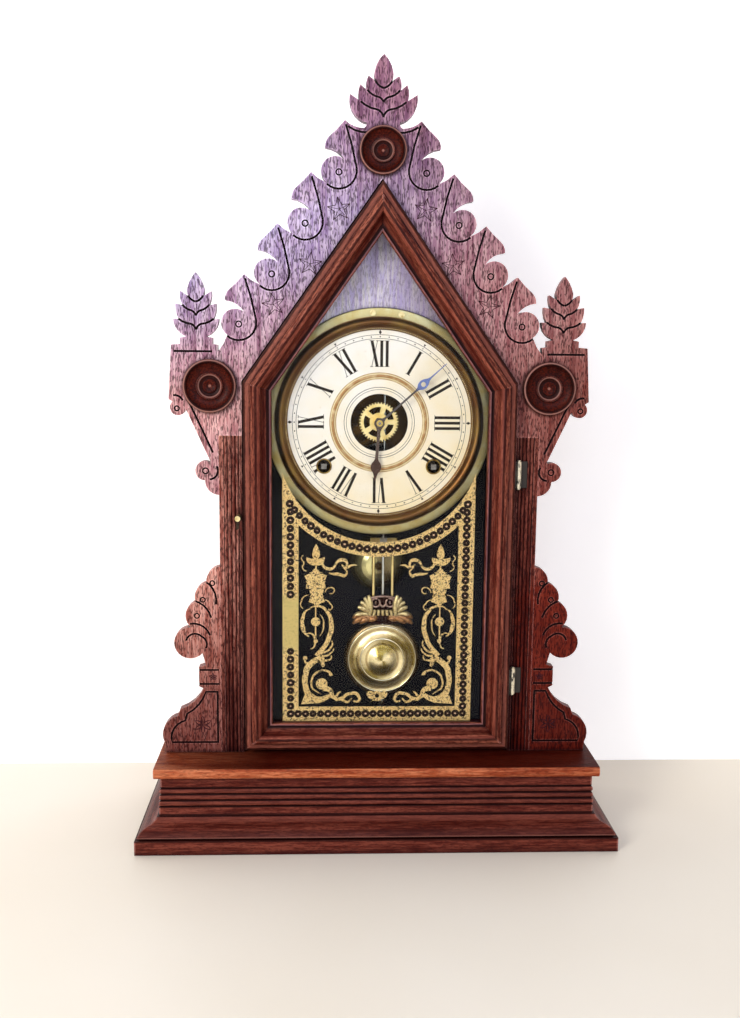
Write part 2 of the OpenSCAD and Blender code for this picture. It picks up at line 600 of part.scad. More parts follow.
// A point at distances ra from a and rb from b, on the left of the way from a to b
function meet(a, ra, b, rb) = let (c = b - a, l = norm(c), t = (ra * ra - rb * rb + l * l) / (2 * l),
    h = sqrt(ra * ra - t * t)) a + c / l * t + [-c[1], c[0]] / l * h;
great_m = 0.75;
second_m = 0.8;
centre_m = 0.7;
pinion_teeth = 10;
third_pinion_teeth = 8;
great_spot = [wind_x, -wind_z];
second_spot = meet([0, 0], second_m * (wheel_teeth + pinion_teeth) / 2, great_spot,
    great_m * (great_teeth + pinion_teeth) / 2);
escape_spot = [pend_x, 33];
verge_spot = [pend_x, 50];
third_wheel_r = 16.8;
third_reach = 19.6;
third_spot = meet([0, 0], centre_m * (wheel_teeth + third_pinion_teeth) / 2, escape_spot, third_reach);
minute_dist = 19.25;
minute_turn = 200;
minute_spot = [minute_dist * cos(minute_turn), minute_dist * sin(minute_turn)];
hammer_spot = [-14, -60];
arbor_spots = [second_spot, third_spot, escape_spot, verge_spot, hammer_spot];
module plate_shape() difference() {
    polygon(concat(plate_edge, reversed(mirrored(plate_edge))));
    for (k = plate_windows) translate([k[0], k[1]]) circle(r = k[2]);
}
module plate(y) difference() {
    slab(y, plate_t) plate_shape();
    for (p = arbor_spots) rod(p[0], p[1], y - cut, y + plate_t + cut, arbor_r + play);
    rod(0, 0, y - cut, y + plate_t + cut, centre_r + play);
    winding_pair() rod(0, 0, y - cut, y + plate_t + cut, wind_r + play);
}
module front_plate() color(brass) at_dial() {
    plate(plate_y);
    rod(minute_spot[0], minute_spot[1], hour_y - hand_t * 2, plate_y + 0.2, arbor_r);
    difference() {
        rod(minute_spot[0], minute_spot[1], minute_wheel_y + minute_wheel_t + hub_proud + seat,
            plate_y + 0.2, stud_r);
        rod(minute_spot[0], minute_spot[1], minute_wheel_y - 2, plate_y, arbor_r / 2);
    }
}
module back_plate() color(brass) at_dial() plate(back_plate_y);
module movement_pillars() color(steel) at_dial() both_sides() for (p = pillar_spots) {
    rod(p[0], p[1], plate_y + plate_t, back_plate_y, pillar_r);
    rod(p[0], p[1], back_plate_y + plate_t, case_back, back_post_r);
    rod(p[0], p[1], plate_y - nut_t, plate_y, nut_r);
}

// Wheels: n teeth of module m, with slim teeth that leave running backlash
function tooth_ring(n, m, phase, thick) = let (r = n * m / 2, p = 360 / n) [for (i = [0 : n - 1])
    each [for (k = [[-0.5, -1.15], [-0.29, -1.15], [-thick, 0], [-thick * 0.45, 0.75], [thick * 0.45, 0.75],
        [thick, 0], [0.29, -1.15]])
        (r + k[1] * m) * [cos(phase + (i + k[0]) * p), sin(phase + (i + k[0]) * p)]]];
slim = 0.19;
module gear(n, m, phase, y, t) slab(y, t) polygon(tooth_ring(n, m, phase, slim));
// Open spokes between hub and rim
module windows(n, r0, r1, y, t) for (i = [0 : n - 1]) slab(y - cut, t + 2 * cut)
    rotate(i * 360 / n) polygon(line_of([[r0 * cos(12), -r0 * sin(-12)], [r1 * cos(8), r1 * sin(8), 0.0],
        for (k = [1 : 5]) [r1 * cos(8 + k * (360 / n - 16) / 5), r1 * sin(8 + k * (360 / n - 16) / 5)],
        [r0 * cos(360 / n - 12), r0 * sin(360 / n - 12)]]));
module spoked(n, m, phase, y, t, hub, bore) difference() {
    union() {
        difference() {
            gear(n, m, phase, y, t);
            windows(5, hub + 1.5, n * m / 2 - 1.2 * m - 2.4, y, t);
        }
        rod(0, 0, y - hub_proud, y + t + hub_proud, hub);
    }
    if (bore > 0) rod(0, 0, y - 2, y + t + 2, bore);
}
module at_spot(p) { translate([p[0], 0, dial_z + p[1]]) children(); }
module arbor(p) { rod(0, 0, plate_y - 0.6, back_plate_y + plate_t + 0.6, arbor_r); }

great_y = back_plate_y - 5.4;
great_t = 3;
second_y = great_y - 3;
centre_wheel_y = plate_y + 7;
third_y = plate_y + 11;
escape_y = plate_y + 4;
// The way from one arbor to the next, as an angle
function bearing(a, b) = atan2(b[1] - a[1], b[0] - a[0]);
// A pinion's phase puts a gap where its wheel's tooth points
great_second = bearing(great_spot, second_spot);
second_centre = bearing(second_spot, [0, 0]);
centre_third = bearing([0, 0], third_spot);
module great_wheel() {
    spoked(great_teeth, great_m, great_second, great_y, great_t, 6.5, wind_r + play);
}
module time_great_wheel() color(brass) at_spot(great_spot) great_wheel();
module strike_great_wheel() color(brass) left_of() at_spot(great_spot) great_wheel();
ratchet_n = 20;
ratchet_y = great_y + great_t + 1.1;
module winding_arbor() {
    rod(0, 0, plate_y - 0.8, back_plate_y + plate_t + 0.8, wind_r);
    slab(dial_y - 2.2, plate_y - dial_y + 3) square(4.2, center = true);
    slab(ratchet_y, 0.9) polygon([for (i = [0 : ratchet_n - 1]) each
        [8.2 * [cos(i * 18), sin(i * 18)], 7 * [cos(i * 18 + 2), sin(i * 18 + 2)]]]);
}
module time_winding_arbor() color(steel) at_spot(great_spot) winding_arbor();
module strike_winding_arbor() color(steel) left_of() at_spot(great_spot) winding_arbor();
spring_turns = 6;
spring_in = wind_r + seat + 0.35;
spring_out = 24;
spring_h = 13;
function coil(k) = let (a = k * 360 * spring_turns)
    (spring_in + (spring_out - spring_in) * k) * [cos(a), sin(a)];
coil_n = spring_turns * 18;
module mainspring() slab(plate_y + plate_t + 1.5, spring_h)
    polygon(band([for (i = [0 : coil_n]) coil(i / coil_n)], 0.7));
module mainsprings() color(steel) {
    at_spot(great_spot) mainspring();
    left_of() at_spot(great_spot) mainspring();
}
module second_wheel() color(brass) at_spot(second_spot) {
    gear(pinion_teeth, great_m, great_second + 180 + 180 / pinion_teeth, great_y - 0.6, great_t + 1.2);
    spoked(wheel_teeth, second_m, second_centre, second_y, plate_t, 4, 0);
    arbor();
}
centre_pinion_phase = second_centre + 180 + 180 / pinion_teeth;
cannon_teeth = 12;
minute_wheel_teeth = 36;
cannon_m = 2 * minute_dist / (cannon_teeth + minute_wheel_teeth);
minute_pinion_teeth = 10;
hour_teeth = 40;
hour_m = 2 * minute_dist / (minute_pinion_teeth + hour_teeth);
hour_gap = 6;
wheel_step = 5.6;
minute_wheel_t = 1.2;
hub_proud = 0.8;
hand_gap = 6.4;
tip_len = 2.1;
hour_y = dial_y + hour_gap;
minute_wheel_y = hour_y + wheel_step;
minute_y = dial_y - hand_gap;
arbor_tip_y = minute_y - tip_len;
hand_t = 0.8;
module centre_arbor() color(brass) at_dial() {
    rod(0, 0, minute_y + hand_t, back_plate_y + plate_t + 0.6, centre_r);
    rod(0, 0, arbor_tip_y, minute_y + hand_t + 0.1, hand_pin_r);
    gear(cannon_teeth, cannon_m, minute_turn, minute_wheel_y - 0.6, minute_wheel_t + 0.6);
    gear(pinion_teeth, second_m, centre_pinion_phase, second_y - 0.7, plate_t + 1.4);
    spoked(wheel_teeth, centre_m, centre_third, centre_wheel_y, plate_t, 4, 0);
}
hand_pin_r = 1.1;
module minute_wheel() color(brass) at_spot(minute_spot) {
    spoked(minute_wheel_teeth, cannon_m, minute_turn + 180 + 180 / minute_wheel_teeth, minute_wheel_y,
        minute_wheel_t, 4, arbor_r + play);
    difference() {
        gear(minute_pinion_teeth, hour_m, minute_turn + 180 + 180 / minute_pinion_teeth, hour_y - 0.6,
            minute_wheel_y - hour_y);
        rod(0, 0, hour_y - 2, minute_wheel_y + 2, arbor_r + play);
    }
}
pipe_r = 2.9;
hour_hand_y = minute_y + 2.2;
module hour_wheel() color(brass) at_dial() difference() {
    union() {
        difference() {
            gear(hour_teeth, hour_m, minute_turn, hour_y, 1.2);
            for (i = [0 : 4]) slab(hour_y - cut, 1.2 + 2 * cut) polygon(concat(
                [for (k = [0 : 5]) 12.2 * [cos(72 * i + 10 + k * 10.4), sin(72 * i + 10 + k * 10.4)]],
                [for (k = [5 : -1 : 0]) 7.4 * [cos(72 * i + 14 + k * 8.8), sin(72 * i + 14 + k * 8.8)]]));
        }
        rod(0, 0, hour_hand_y, hour_y + 2, pipe_r);
        rod(0, 0, hour_hand_y + hand_t + 1.5, hour_y + 0.5, pipe_r + 0.9);
    }
    rod(0, 0, hour_hand_y - 1, hour_y + 3, centre_r + play);
}

// Hands: tapering blades with a pierced disc, drawn pointing up and turned to the shown time
minute_angle = shown_minutes * 6;
hour_angle = (shown_hour % 12) * 30 + shown_minutes / 2;
module hand_shape(l, w0, w1, disc, disc_r, hub_r) difference() {
    union() {
        circle(r = hub_r);
        polygon([[-w0 / 2, 0], [w0 / 2, 0], [w1 / 2, l - 3], [0, l], [-w1 / 2, l - 3]]);
        translate([0, disc]) circle(r = disc_r);
        polygon(outline([[-w0 * 0.55, disc - disc_r - 5, 0.6], [0, disc - disc_r - 9, 0.6],
            [w0 * 0.55, disc - disc_r - 5, -0.8], [0, disc, -0.8]]));
        polygon(outline([[0, disc, -0.6], [w0 * 0.5, disc + disc_r + 3, 0.5], [0, disc + disc_r + 8, 0.5],
            [-w0 * 0.5, disc + disc_r + 3, -0.6]]));
    }
    translate([0, disc]) circle(r = disc_r * 0.45);
}
module hand(l, w0, w1, disc, disc_r, hub_r, bore, y, a) at_dial() rotate([0, a, 0]) difference() {
    slab(y, hand_t) hand_shape(l, w0, w1, disc, disc_r, hub_r);
    rod(0, 0, y - cut, y + hand_t + cut, bore);
}
module minute_hand() color("#25304a")
    hand(minute_len, 3, 1.3, minute_len - 25, 3.6, 3.8, hand_pin_r, minute_y, minute_angle);
module hour_hand() color("#3a3028")
    hand(hour_len, 3.4, 1.5, hour_len - 12, 4.2, 4.6, pipe_r, hour_hand_y, hour_angle);
module hand_nut() color(brass) at_dial() difference() {
    rod(0, 0, minute_y - 1.7, minute_y, 2.5);
    rod(0, 0, minute_y - 3, minute_y + 1, hand_pin_r);
}

// Going train beyond the centre: third wheel, escape wheel and verge with its crutch
module third_wheel() color(brass) at_spot(third_spot) {
    gear(third_pinion_teeth, centre_m, centre_third + 180 + 180 / third_pinion_teeth, centre_wheel_y - 0.6,
        plate_t + 1.2);
    difference() {
        rod(0, 0, third_y, third_y + 1.4, third_wheel_r);
        windows(5, 5, third_wheel_r - 3, third_y, 1.4);
    }
    arbor();
}
escape_n = 32;
escape_r = 13;
module escape_wheel() color(brass) at_spot(escape_spot) {
    slab(escape_y, 1.2) difference() {
        polygon([for (i = [0 : escape_n - 1]) each let (a = i * 360 / escape_n)
            [escape_r * [cos(a), sin(a)], (escape_r - 2.4) * [cos(a + 1.6), sin(a + 1.6)]]]);
        for (i = [0 : 4]) rotate(72 * i) translate([6, 0]) circle(r = 2.6);
    }
    rod(0, 0, escape_y - 0.8, escape_y + 2, 2.4);
    arbor();
}
pallet_r = escape_r + 1.1;
pendulum_y = plate_y - 6;
crutch_y = plate_y - 3;
crutch_z = dial_z - 36;
rod_r = 0.8;
module verge() color(steel) at_spot(verge_spot) {
    arbor_len = plate_y - crutch_y + 0.8;
    slab(escape_y, 1.2) polygon(concat(
        [for (k = [-4 : 4]) [0, -17] + (pallet_r + 1.6) * [sin(k * 10), cos(k * 10)]],
        [for (k = [4 : -1 : -4]) [0, -17] + pallet_r * [sin(k * 10), cos(k * 10)]]));
    rod(0, 0, escape_y - 0.4, escape_y + 1.6, 2.4);
    arbor();
    rod(0, 0, crutch_y - 0.8, crutch_y + arbor_len, arbor_r);
    translate([-0.7, crutch_y - 0.7, crutch_z - dial_z - verge_spot[1]])
        cube([1.4, 1.4, dial_z + verge_spot[1] - crutch_z]);
    difference() {
        translate([-2.4, pendulum_y - 1.8, crutch_z - dial_z - verge_spot[1] - 2])
            cube([4.8, crutch_y - pendulum_y + 2.5, 2.4]);
        translate([-rod_r - 0.15, pendulum_y - rod_r - 0.15, crutch_z - dial_z - verge_spot[1] - 3])
            cube([2 * rod_r + 0.3, 2 * rod_r + 0.3, 5]);
    }
}
// Post that holds the pendulum's suspension spring
pivot_z = dial_z + verge_spot[1];
module suspension_post() color(brass) difference() {
    translate([pend_x - 5, pendulum_y - 3.6, pivot_z + 1.8]) cube([10, plate_y - pendulum_y + 3.6, 7]);
    translate([pend_x - 0.6, pendulum_y - 5, pivot_z]) cube([1.2, 7.5, 6]);
}

// Pendulum: suspension spring and wire, a two-rod grid, cast leaf ornament and a lens bob
grid_z = 236.7;
grid_foot = 192;
grid_rod_x = 7.85;
grid_rod_r = 1.45;
middle_rod_r = 1.2;
lower_rod_r = 1.1;
// Half the width of the suspension spring
spring_half = 1.8;
module along_z(x, z0, z1, r) { translate([x, pendulum_y, z0]) cylinder(r = r, h = z1 - z0); }
module pendulum_rod() color("silver") {
    translate([pend_x - 0.15, pendulum_y - spring_half, pivot_z - 10]) cube([0.3, 2 * spring_half, 14]);
    translate([pend_x - 1.2, pendulum_y - 2, pivot_z - 13]) cube([2.4, 4, 5]);
    along_z(pend_x, grid_z, pivot_z - 12, rod_r);
    along_z(pend_x, grid_foot - 8, grid_z + 1, middle_rod_r);
    for (s = [-1, 1]) along_z(pend_x + s * grid_rod_x, grid_foot - 8, grid_z, grid_rod_r);
    translate([pend_x - grid_rod_x - 3, pendulum_y - 1.8, grid_z - 2]) cube([2 * grid_rod_x + 6, 3.6, 4]);
    along_z(pend_x, bob_z - bob_d / 2 - 9, grid_foot - 7, lower_rod_r);
    along_z(pend_x, bob_z - bob_d / 2 - 7, bob_z - bob_d / 2 - 3.5, 3);
}
// Cast leaf scrolls between grid and bob, right half from the top down
ornament_side = [[0, 2], [11, 2], [11.5, -3], [10.4, -5.5, 2.2], [20, -6.5, 2.6], [25, -12.5, 2.6],
    [16.5, -14.5], [21, -18.5, 2], [15, -23.5, 1], [6, -20.5], [3, -23.7], [0, -23.7]];
ornament_right = line_of(ornament_side);
module pendulum_ornament() color(brass) translate([pend_x, 0, grid_foot]) difference() {
    slab(pendulum_y - 3, 6) polygon(concat(ornament_right, reversed(mirrored(rest_of(ornament_right)))));
    for (s = [-1, 1]) translate([s * grid_rod_x, pendulum_y, -8]) cylinder(r = grid_rod_r + play, h = 20);
    translate([0, pendulum_y, -40]) cylinder(r = middle_rod_r + play, h = 60);
}
bob_t = 10;
bob_r = bob_d / 2;
bob_side = [[0, 7.6, 0.9], [7.4, 4.4, -0.4], [9.3, 3.4], [10.4, 3.4, 0.7], [13.2, 3.4], [14.4, 3.2, 0.7],
    [17.6, 3.4, -0.3], [20, 3, 0.9], [25.6, 3, 0.5], [28.4, 1.8], [29.2, 2.6, 0.6], [bob_r, 0.6]];
module pendulum_bob() color(brass) difference() {
    turned_at(pend_x, pendulum_y, bob_z)
        polygon(concat(line_of(bob_side), [[bob_r, -0.6], [bob_r - 5, -bob_t / 2 + 1], [0, -bob_t / 2]]));
    translate([pend_x, pendulum_y, bob_z - bob_r - 2]) cylinder(r = lower_rod_r + play, h = bob_d + 4);
}

// Bell on a post from the back board, and the hammer that strikes its rim
bell_x = 3;
bell_y = case_back - 7;
bell_r = bell_d / 2;
bell_h = 18;
bell_wall = 1.5;
bell_screw_r = 1.6;
bell_side = [[bell_screw_r, bell_h], [bell_screw_r, bell_h - bell_wall], [6, bell_h - bell_wall, 4.6],
    [bell_r - bell_wall, 0], [bell_r, 0, -5], [7, bell_h]];
module bell() color(brass) turned_at(bell_x, bell_y, bell_z) polygon(outline(bell_side));
module bell_post() color(steel) translate([0, 0, bell_z]) {
    rod(bell_x, 0, bell_y - bell_h + bell_wall, case_back, 3);
    rod(bell_x, 0, bell_y - bell_h - 1.2, bell_y - bell_h + bell_wall, bell_screw_r);
    rod(bell_x, 0, bell_y - bell_h - 2.4, bell_y - bell_h, 3.4);
}
hammer_y = back_plate_y + plate_t + 3;
hammer_gap = 5.2;
hammer_x = bell_x - bell_r - hammer_gap;
hammer_arm_w = 2.2;
hammer_rise = 24;
head_r = 3.6;
head_l = 8.8;
module hammer() color(steel) {
    at_spot(hammer_spot) arbor();
    at_spot(hammer_spot) rod(0, 0, back_plate_y + plate_t, hammer_y + 1.2, hammer_arm_w);
    slab(hammer_y - 1, 2) polygon(band([hammer_spot + [0, dial_z], [hammer_x - 2, bell_z + hammer_rise],
        [hammer_x, bell_z + 2]], hammer_arm_w));
    translate([hammer_x - head_l / 2, hammer_y, bell_z]) rotate([0, 90, 0]) cylinder(r = head_r, h = head_l);
}

base_front_moulding();
base_side_mouldings();
base_shelf();
base_back_rail();
glue_blocks();
case_sides();
roof_boards();
back_board();
case_screws();
pilaster_left();
pilaster_right();
crest_board();
upper_wing_left();
upper_wing_right();
lower_wing_left();
lower_wing_right();
rosette_left();
rosette_right();
rosette_top();
door_stile_left();
door_stile_right();
door_rail();
door_rafter_left();
door_rafter_right();
door_glass();
glass_beads();
case_hinge_leaves();
door_hinge_leaves();
hinge_pins();
door_hook();
gable_panel();
dial_cleats();
dial_pan();
dial_bezel();
dial_grommets();
front_plate();
back_plate();
movement_pillars();
time_great_wheel();
strike_great_wheel();
time_winding_arbor();
strike_winding_arbor();
mainsprings();
second_wheel();
centre_arbor();
minute_wheel();
hour_wheel();
minute_hand();
hour_hand();
hand_nut();
third_wheel();
escape_wheel();
verge();
suspension_post();
pendulum_rod();
pendulum_ornament();
pendulum_bob();
hammer();
bell();
bell_post();
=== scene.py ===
import math

import bmesh
import bpy
from bpy.props import FloatProperty, FloatVectorProperty, PointerProperty
from mathutils import Matrix, Vector


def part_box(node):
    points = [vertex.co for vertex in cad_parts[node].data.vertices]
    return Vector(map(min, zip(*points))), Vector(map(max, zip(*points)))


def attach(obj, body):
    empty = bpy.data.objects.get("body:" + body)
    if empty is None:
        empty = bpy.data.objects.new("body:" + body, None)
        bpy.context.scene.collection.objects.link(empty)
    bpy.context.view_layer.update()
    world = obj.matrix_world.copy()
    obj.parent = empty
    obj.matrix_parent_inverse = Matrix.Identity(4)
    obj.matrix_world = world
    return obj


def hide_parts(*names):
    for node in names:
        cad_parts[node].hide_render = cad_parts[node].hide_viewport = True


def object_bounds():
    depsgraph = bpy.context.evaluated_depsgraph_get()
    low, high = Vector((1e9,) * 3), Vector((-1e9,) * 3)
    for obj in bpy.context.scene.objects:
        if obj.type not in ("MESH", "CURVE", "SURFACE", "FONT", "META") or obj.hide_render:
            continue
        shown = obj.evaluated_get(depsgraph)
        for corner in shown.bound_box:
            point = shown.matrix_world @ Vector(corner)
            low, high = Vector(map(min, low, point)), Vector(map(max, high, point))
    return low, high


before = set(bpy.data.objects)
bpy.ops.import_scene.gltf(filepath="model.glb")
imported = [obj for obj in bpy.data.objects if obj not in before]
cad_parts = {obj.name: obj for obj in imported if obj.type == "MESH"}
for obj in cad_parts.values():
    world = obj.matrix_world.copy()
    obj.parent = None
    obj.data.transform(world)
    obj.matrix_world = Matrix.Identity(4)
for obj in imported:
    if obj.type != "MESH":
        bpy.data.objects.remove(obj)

bl_info = {
    "name": "Parlor Clock",
    "version": (1, 0, 0),
    "blender": (4, 5, 0),
    "location": "View3D > Sidebar > Clock",
    "description": "Finishes a gothic walnut parlor clock around its packed frame",
    "category": "Object",
}

MM = 0.001
MERGED = 1e-7      # points closer than this are one
PRINT_STEP = 1e-6  # crossing strokes of ink lie this much over each other
CUT_STEP = 2e-7    # and crossing chip cuts this much
CAD_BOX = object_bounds()


def middle(node):
    """Centre of a CAD node's box."""
    low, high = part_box(node)
    return (low + high) / 2


# Places that the frame gives: x and z of the turned parts, and the depths of the flat ones
DIAL = middle("dial_pan")
DIAL_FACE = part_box("dial_pan")[0].y
BOB = middle("pendulum_bob")
BELL = middle("bell")
GLASS_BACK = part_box("door_glass")[1].y
CASE_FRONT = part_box("crest_board")[0].y
SHELF_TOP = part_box("base_shelf")[1].z
CREST_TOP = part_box("crest_board")[1].z
DOOR_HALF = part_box("door_rail")[1].x
DOOR_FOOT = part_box("door_rail")[0].z
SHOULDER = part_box("door_stile_right")[1].z
PITCH = math.atan2(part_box("door_rafter_left")[1].z - SHOULDER, DOOR_HALF)
FRONT_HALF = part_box("lower_wing_right")[1].x
DIAL_HUB = (DIAL.x, DIAL.z)
DIAL_CENTRE = (DIAL.x, DIAL_FACE, DIAL.z)

# Sizes in millimetres that several pieces share
PAPER = 0.15
WINDING_HOLE = 5.5
BAND_TOP = 264

# The worn patch of the left gold band: its middle, and the part without outlines
WORN_LEVEL = 173
WORN_FOOT, WORN_TOP = 150, 197

# Chip carving: stars give x, z and tilt; flowers give x, z, petal length and number of petals
STARS = ((33, 497, 8), (55, 456, -6), (83, 425, 12))
FLOWERS = ((141.5, 88, 7.5, 6), (132.9, 128.4, 3.4, 5))
STAR_TIP, STAR_NOTCH = 9.2, 3.9
STAR_EDGE, STAR_RAY, PETAL_LINE = 1.6, 1.1, 0.8


# Settings

def linear(hex_colour):
    """Linear red, green and blue of an sRGB hex colour."""
    parts = [int(hex_colour[i:i + 2], 16) / 255 for i in (1, 3, 5)]
    return tuple(c / 12.92 if c <= 0.04045 else ((c + 0.055) / 1.055) ** 2.4 for c in parts)


def tone(name, text, hex_colour):
    """A colour that a user may change."""
    return FloatVectorProperty(name=name, description=text, subtype="COLOR", size=3, min=0, max=1,
                               default=linear(hex_colour))


def length(name, text, millimetres):
    """A size that a user may change."""
    return FloatProperty(name=name, description=text, unit="LENGTH", min=0, default=millimetres * MM)


def angle(name, text, degrees):
    """An angle that a user may change."""
    return FloatProperty(name=name, description=text, subtype="ANGLE", default=math.radians(degrees))


class WoodSettings(bpy.types.PropertyGroup):
    board: tone("Board", "Middle tone of the flat sawn boards", "#b46c5e")
    board_light: tone("Board light", "Light fibres of the flat sawn boards", "#e8b2a4")
    # The two bloom tones are a painted reflection of pale sky light in the varnish
    sky_sheen: tone("Bloom", "Middle tone where the old shellac has bloomed", "#958fcc")
    sky_sheen_light: tone("Bloom light", "Light fibres under bloomed shellac", "#dad8ff")
    moulding: tone("Moulding", "Middle tone of the door and base mouldings", "#5a231a")
    moulding_light: tone("Moulding light", "Light streaks of the mouldings", "#a05a46")
    rosette: tone("Rosette", "Middle tone of the turned rosettes", "#280503")
    rosette_light: tone("Rosette light", "Light streaks of the turned rosettes", "#541606")
    # The pale lilac panel tones are a painted reflection of sky light
    panel: tone("Panel", "Middle tone of the thin panel behind the gable glass", "#dad0ff")
    panel_light: tone("Panel light", "Light fibres of the gable panel", "#faf8ff")
    # The inside tone is a stain made near-black to paint the shade inside the case
    inside: tone("Inside", "Stain on the inside of the case", "#090a18")
    # The pore tone also paints the shade in corners and grooves
    pore: tone("Pores", "Open pores and grime in the carved grooves", "#1e0408")
    # This tone is painted shade: it darkens the finish low on the right, away from the window
    right_shade: tone("Smoke", "What lamp smoke leaves of the colour, low on the right", "#874436")
    # Rubbed edges are wear together with a painted highlight along the edges
    rubbed_and_highlit: tone("Rubbed", "Edges that handling has rubbed light", "#d2a096")
    ease: length("Edge", "Width by which handling has eased the edges", 0.35)


class DialSettings(bpy.types.PropertyGroup):
    paper: tone("Paper", "Dial paper in the middle", "#faf6f0")
    # The aged tone is browning and painted shade towards the lower right
    paper_browned_and_shaded: tone("Aged paper", "Dial paper where light and smoke have browned it", "#f6e2b4")
    ink: tone("Ink", "Printing ink", "#17130f")
    paper_radius: length("Paper radius", "Outer radius of the paper under the bezel", 73.4)
    hole_radius: length("Hole radius", "Radius of the hole in the middle", 22.8)
    ring_radius: length("Ring radius", "Middle radius of the pressed ring", 37.0)
    numeral_foot: length("Numeral foot", "Radius at the feet of the numerals", 44.2)
    numeral_top: length("Numeral top", "Radius at the tops of the numerals", 64.4)
    thick: length("Thick stroke", "Width of the thick strokes", 2.25)
    thin: length("Thin stroke", "Width of the hairlines and serifs", 0.42)
    track: length("Minute track", "Radius between the two circles of the minute track", 67.6)
    ink_height: length("Ink height", "Thickness of the printed ink", 0.04)


class TabletSettings(bpy.types.PropertyGroup):
    gold: tone("Gold", "Bronze powder of the stencil", "#d6b062")
    gold_light: tone("Gold light", "Bright grains of the bronze powder", "#f4da9c")
    outline: tone("Outline", "Painted outlines of the beads", "#160c0a")
    band: length("Band", "Width of the upright gold bands", 12.8)
    half_width: length("Half width", "Half the width over both upright bands", 76.6)
    foot: length("Foot", "Height of the stencil's lower edge", 91.4)
    foot_band: length("Lower band", "Width of the lower gold band", 12.2)
    arc_inner: length("Arc", "Inner radius of the arc under the dial", 80.4)
    arc_outer: length("Arc outer", "Outer radius of the arc under the dial", 92.2)
    arc_drop: length("Arc drop", "Height of the dial's middle over the middle of the arc", 14)
    bead: length("Bead", "Radius of the painted beads", 3.3)
    coat: length("Coat", "Thickness of each painted coat", 0.03)


class BrassSettings(bpy.types.PropertyGroup):
    bright: tone("Bright", "Polished and lacquered brass of bob and bell", "#d8bb6a")
    worn: tone("Worn", "Old brass of the flange and rings", "#ad9150")
    bronze: tone("Bronze", "Dark lacquer on the bezel's dome", "#5e3c20")
    cast: tone("Cast", "Cast brass of the pendulum ornament", "#d8c48c")
    steel: tone("Steel", "Bare steel of arbors and rods", "#8d8a86")
    blued: tone("Blued", "Blued steel of the minute hand", "#6b7cb4")
    browned: tone("Browned", "Browned steel of the hour hand", "#4a342c")
    iron: tone("Iron", "Dark iron of hook and screws", "#2b2622")
    milling: length("Milling", "Distance between the milled beads of the bezel", 1.5)
    milling_bead: length("Milled bead", "Radius of a milled bead", 0.42)


class StageSettings(bpy.types.PropertyGroup):
    floor: tone("Floor", "Table top", "#ece2d0")
    wall: tone("Wall", "Wall behind the clock", "#f4f3f2")
    eye: FloatVectorProperty(name="Eye", description="Place of the camera", subtype="XYZ", unit="LENGTH",
                             default=(-0.0422, -0.8615, 0.3966))
    down: angle("Down", "Angle of the camera below level", 8.74)
    right: angle("Right", "Angle of the camera to the right", 2.37)
    roll: angle("Roll", "Roll of the camera", 0.584)
    lens: FloatProperty(name="Lens", description="Focal length in millimetres", default=38.19)
    wall_gap: length("Wall gap", "Distance from the clock's back to the wall", 60)


SETTINGS = {"clock_wood": WoodSettings, "clock_dial": DialSettings, "clock_tablet": TabletSettings,
            "clock_brass": BrassSettings, "clock_stage": StageSettings}


# Outlines: knots are [a, b] or [a, b, bow], and bow is how far the way to the next knot swells to its left

def mm(knots):
    """The same knots, written in millimetres and given in metres."""
    return [[value * MM for value in knot] for knot in knots]


def bowed(start, end, bow, turn):
    """Points from start up to, but without, end."""
    a, b = Vector(start[:2]), Vector(end[:2])
    if not bow:
        return [a]
    chord = b - a
    radius = (chord.length_squared / 4 + bow * bow) / (2 * bow)
    side = Vector((-chord.y, chord.x)).normalized()
    hub = (a + b) / 2 + side * (bow - radius)
    sweep = 4 * math.atan(2 * bow / chord.length)
    count = max(2, math.ceil(abs(math.degrees(sweep)) / turn))
    return [hub + Matrix.Rotation(-sweep * i / count, 2) @ (a - hub) for i in range(count)]


def swept(knots, closed=False, turn=9):
    """Points along the knots, with bowed stretches as arcs."""
    ends = knots[1:] + (knots[:1] if closed else [])
    points = [p for a, b in zip(knots, ends) for p in bowed(a, b, a[2] if len(a) > 2 else 0, turn)]
    return points if closed else points + [Vector(knots[-1][:2])]


def arc(radius, start, end, count, hub=(0, 0)):
    """Points on a circle; angles are in degrees, clockwise from straight up."""
    angles = [math.radians(start + (end - start) * i / count) for i in range(count + 1)]
    return [Vector((hub[0] + radius * math.sin(a), hub[1] + radius * math.cos(a))) for a in angles]


def circle(radius, hub=(0, 0), count=48):
    return arc(radius, 0, 360 * (1 - 1 / count), count - 1, hub)


def stroke(points, widths):
    """Outline of a brush stroke along points, whose width passes through widths."""
    runs = [0.0]
    for a, b in zip(points, points[1:]):
        runs.append(runs[-1] + (b - a).length)
    left, right = [], []
    for i, p in enumerate(points):
        along = (points[min(i + 1, len(points) - 1)] - points[max(i - 1, 0)]).normalized()
        share = runs[i] / runs[-1] * (len(widths) - 1)
        k = min(int(share), len(widths) - 2)
        width = widths[k] + (widths[k + 1] - widths[k]) * (share - k)
        side = Vector((-along.y, along.x)) * width / 2
        left.append(p + side)
        right.append(p - side)
    return left + right[::-1]


def flipped(points):
    """Mirror image to the other side of the clock."""
    return [Vector((-p[0], p[1])) for p in reversed(points)]


def moved(points, by):
    return [Vector((p[0] + by[0], p[1] + by[1])) for p in points]


def spun(points, clockwise, hub=(0, 0)):
    """Points turned clockwise about hub, in degrees, as seen from the front."""
    turn = Matrix.Rotation(-math.radians(clockwise), 2)
    return [turn @ (Vector(p[:2]) - Vector(hub)) + Vector(hub) for p in points]


# Meshes

def at_depth(points, depth):
    """Outline points as points in space."""
    return [Vector((p[0], depth, p[1])) for p in points]


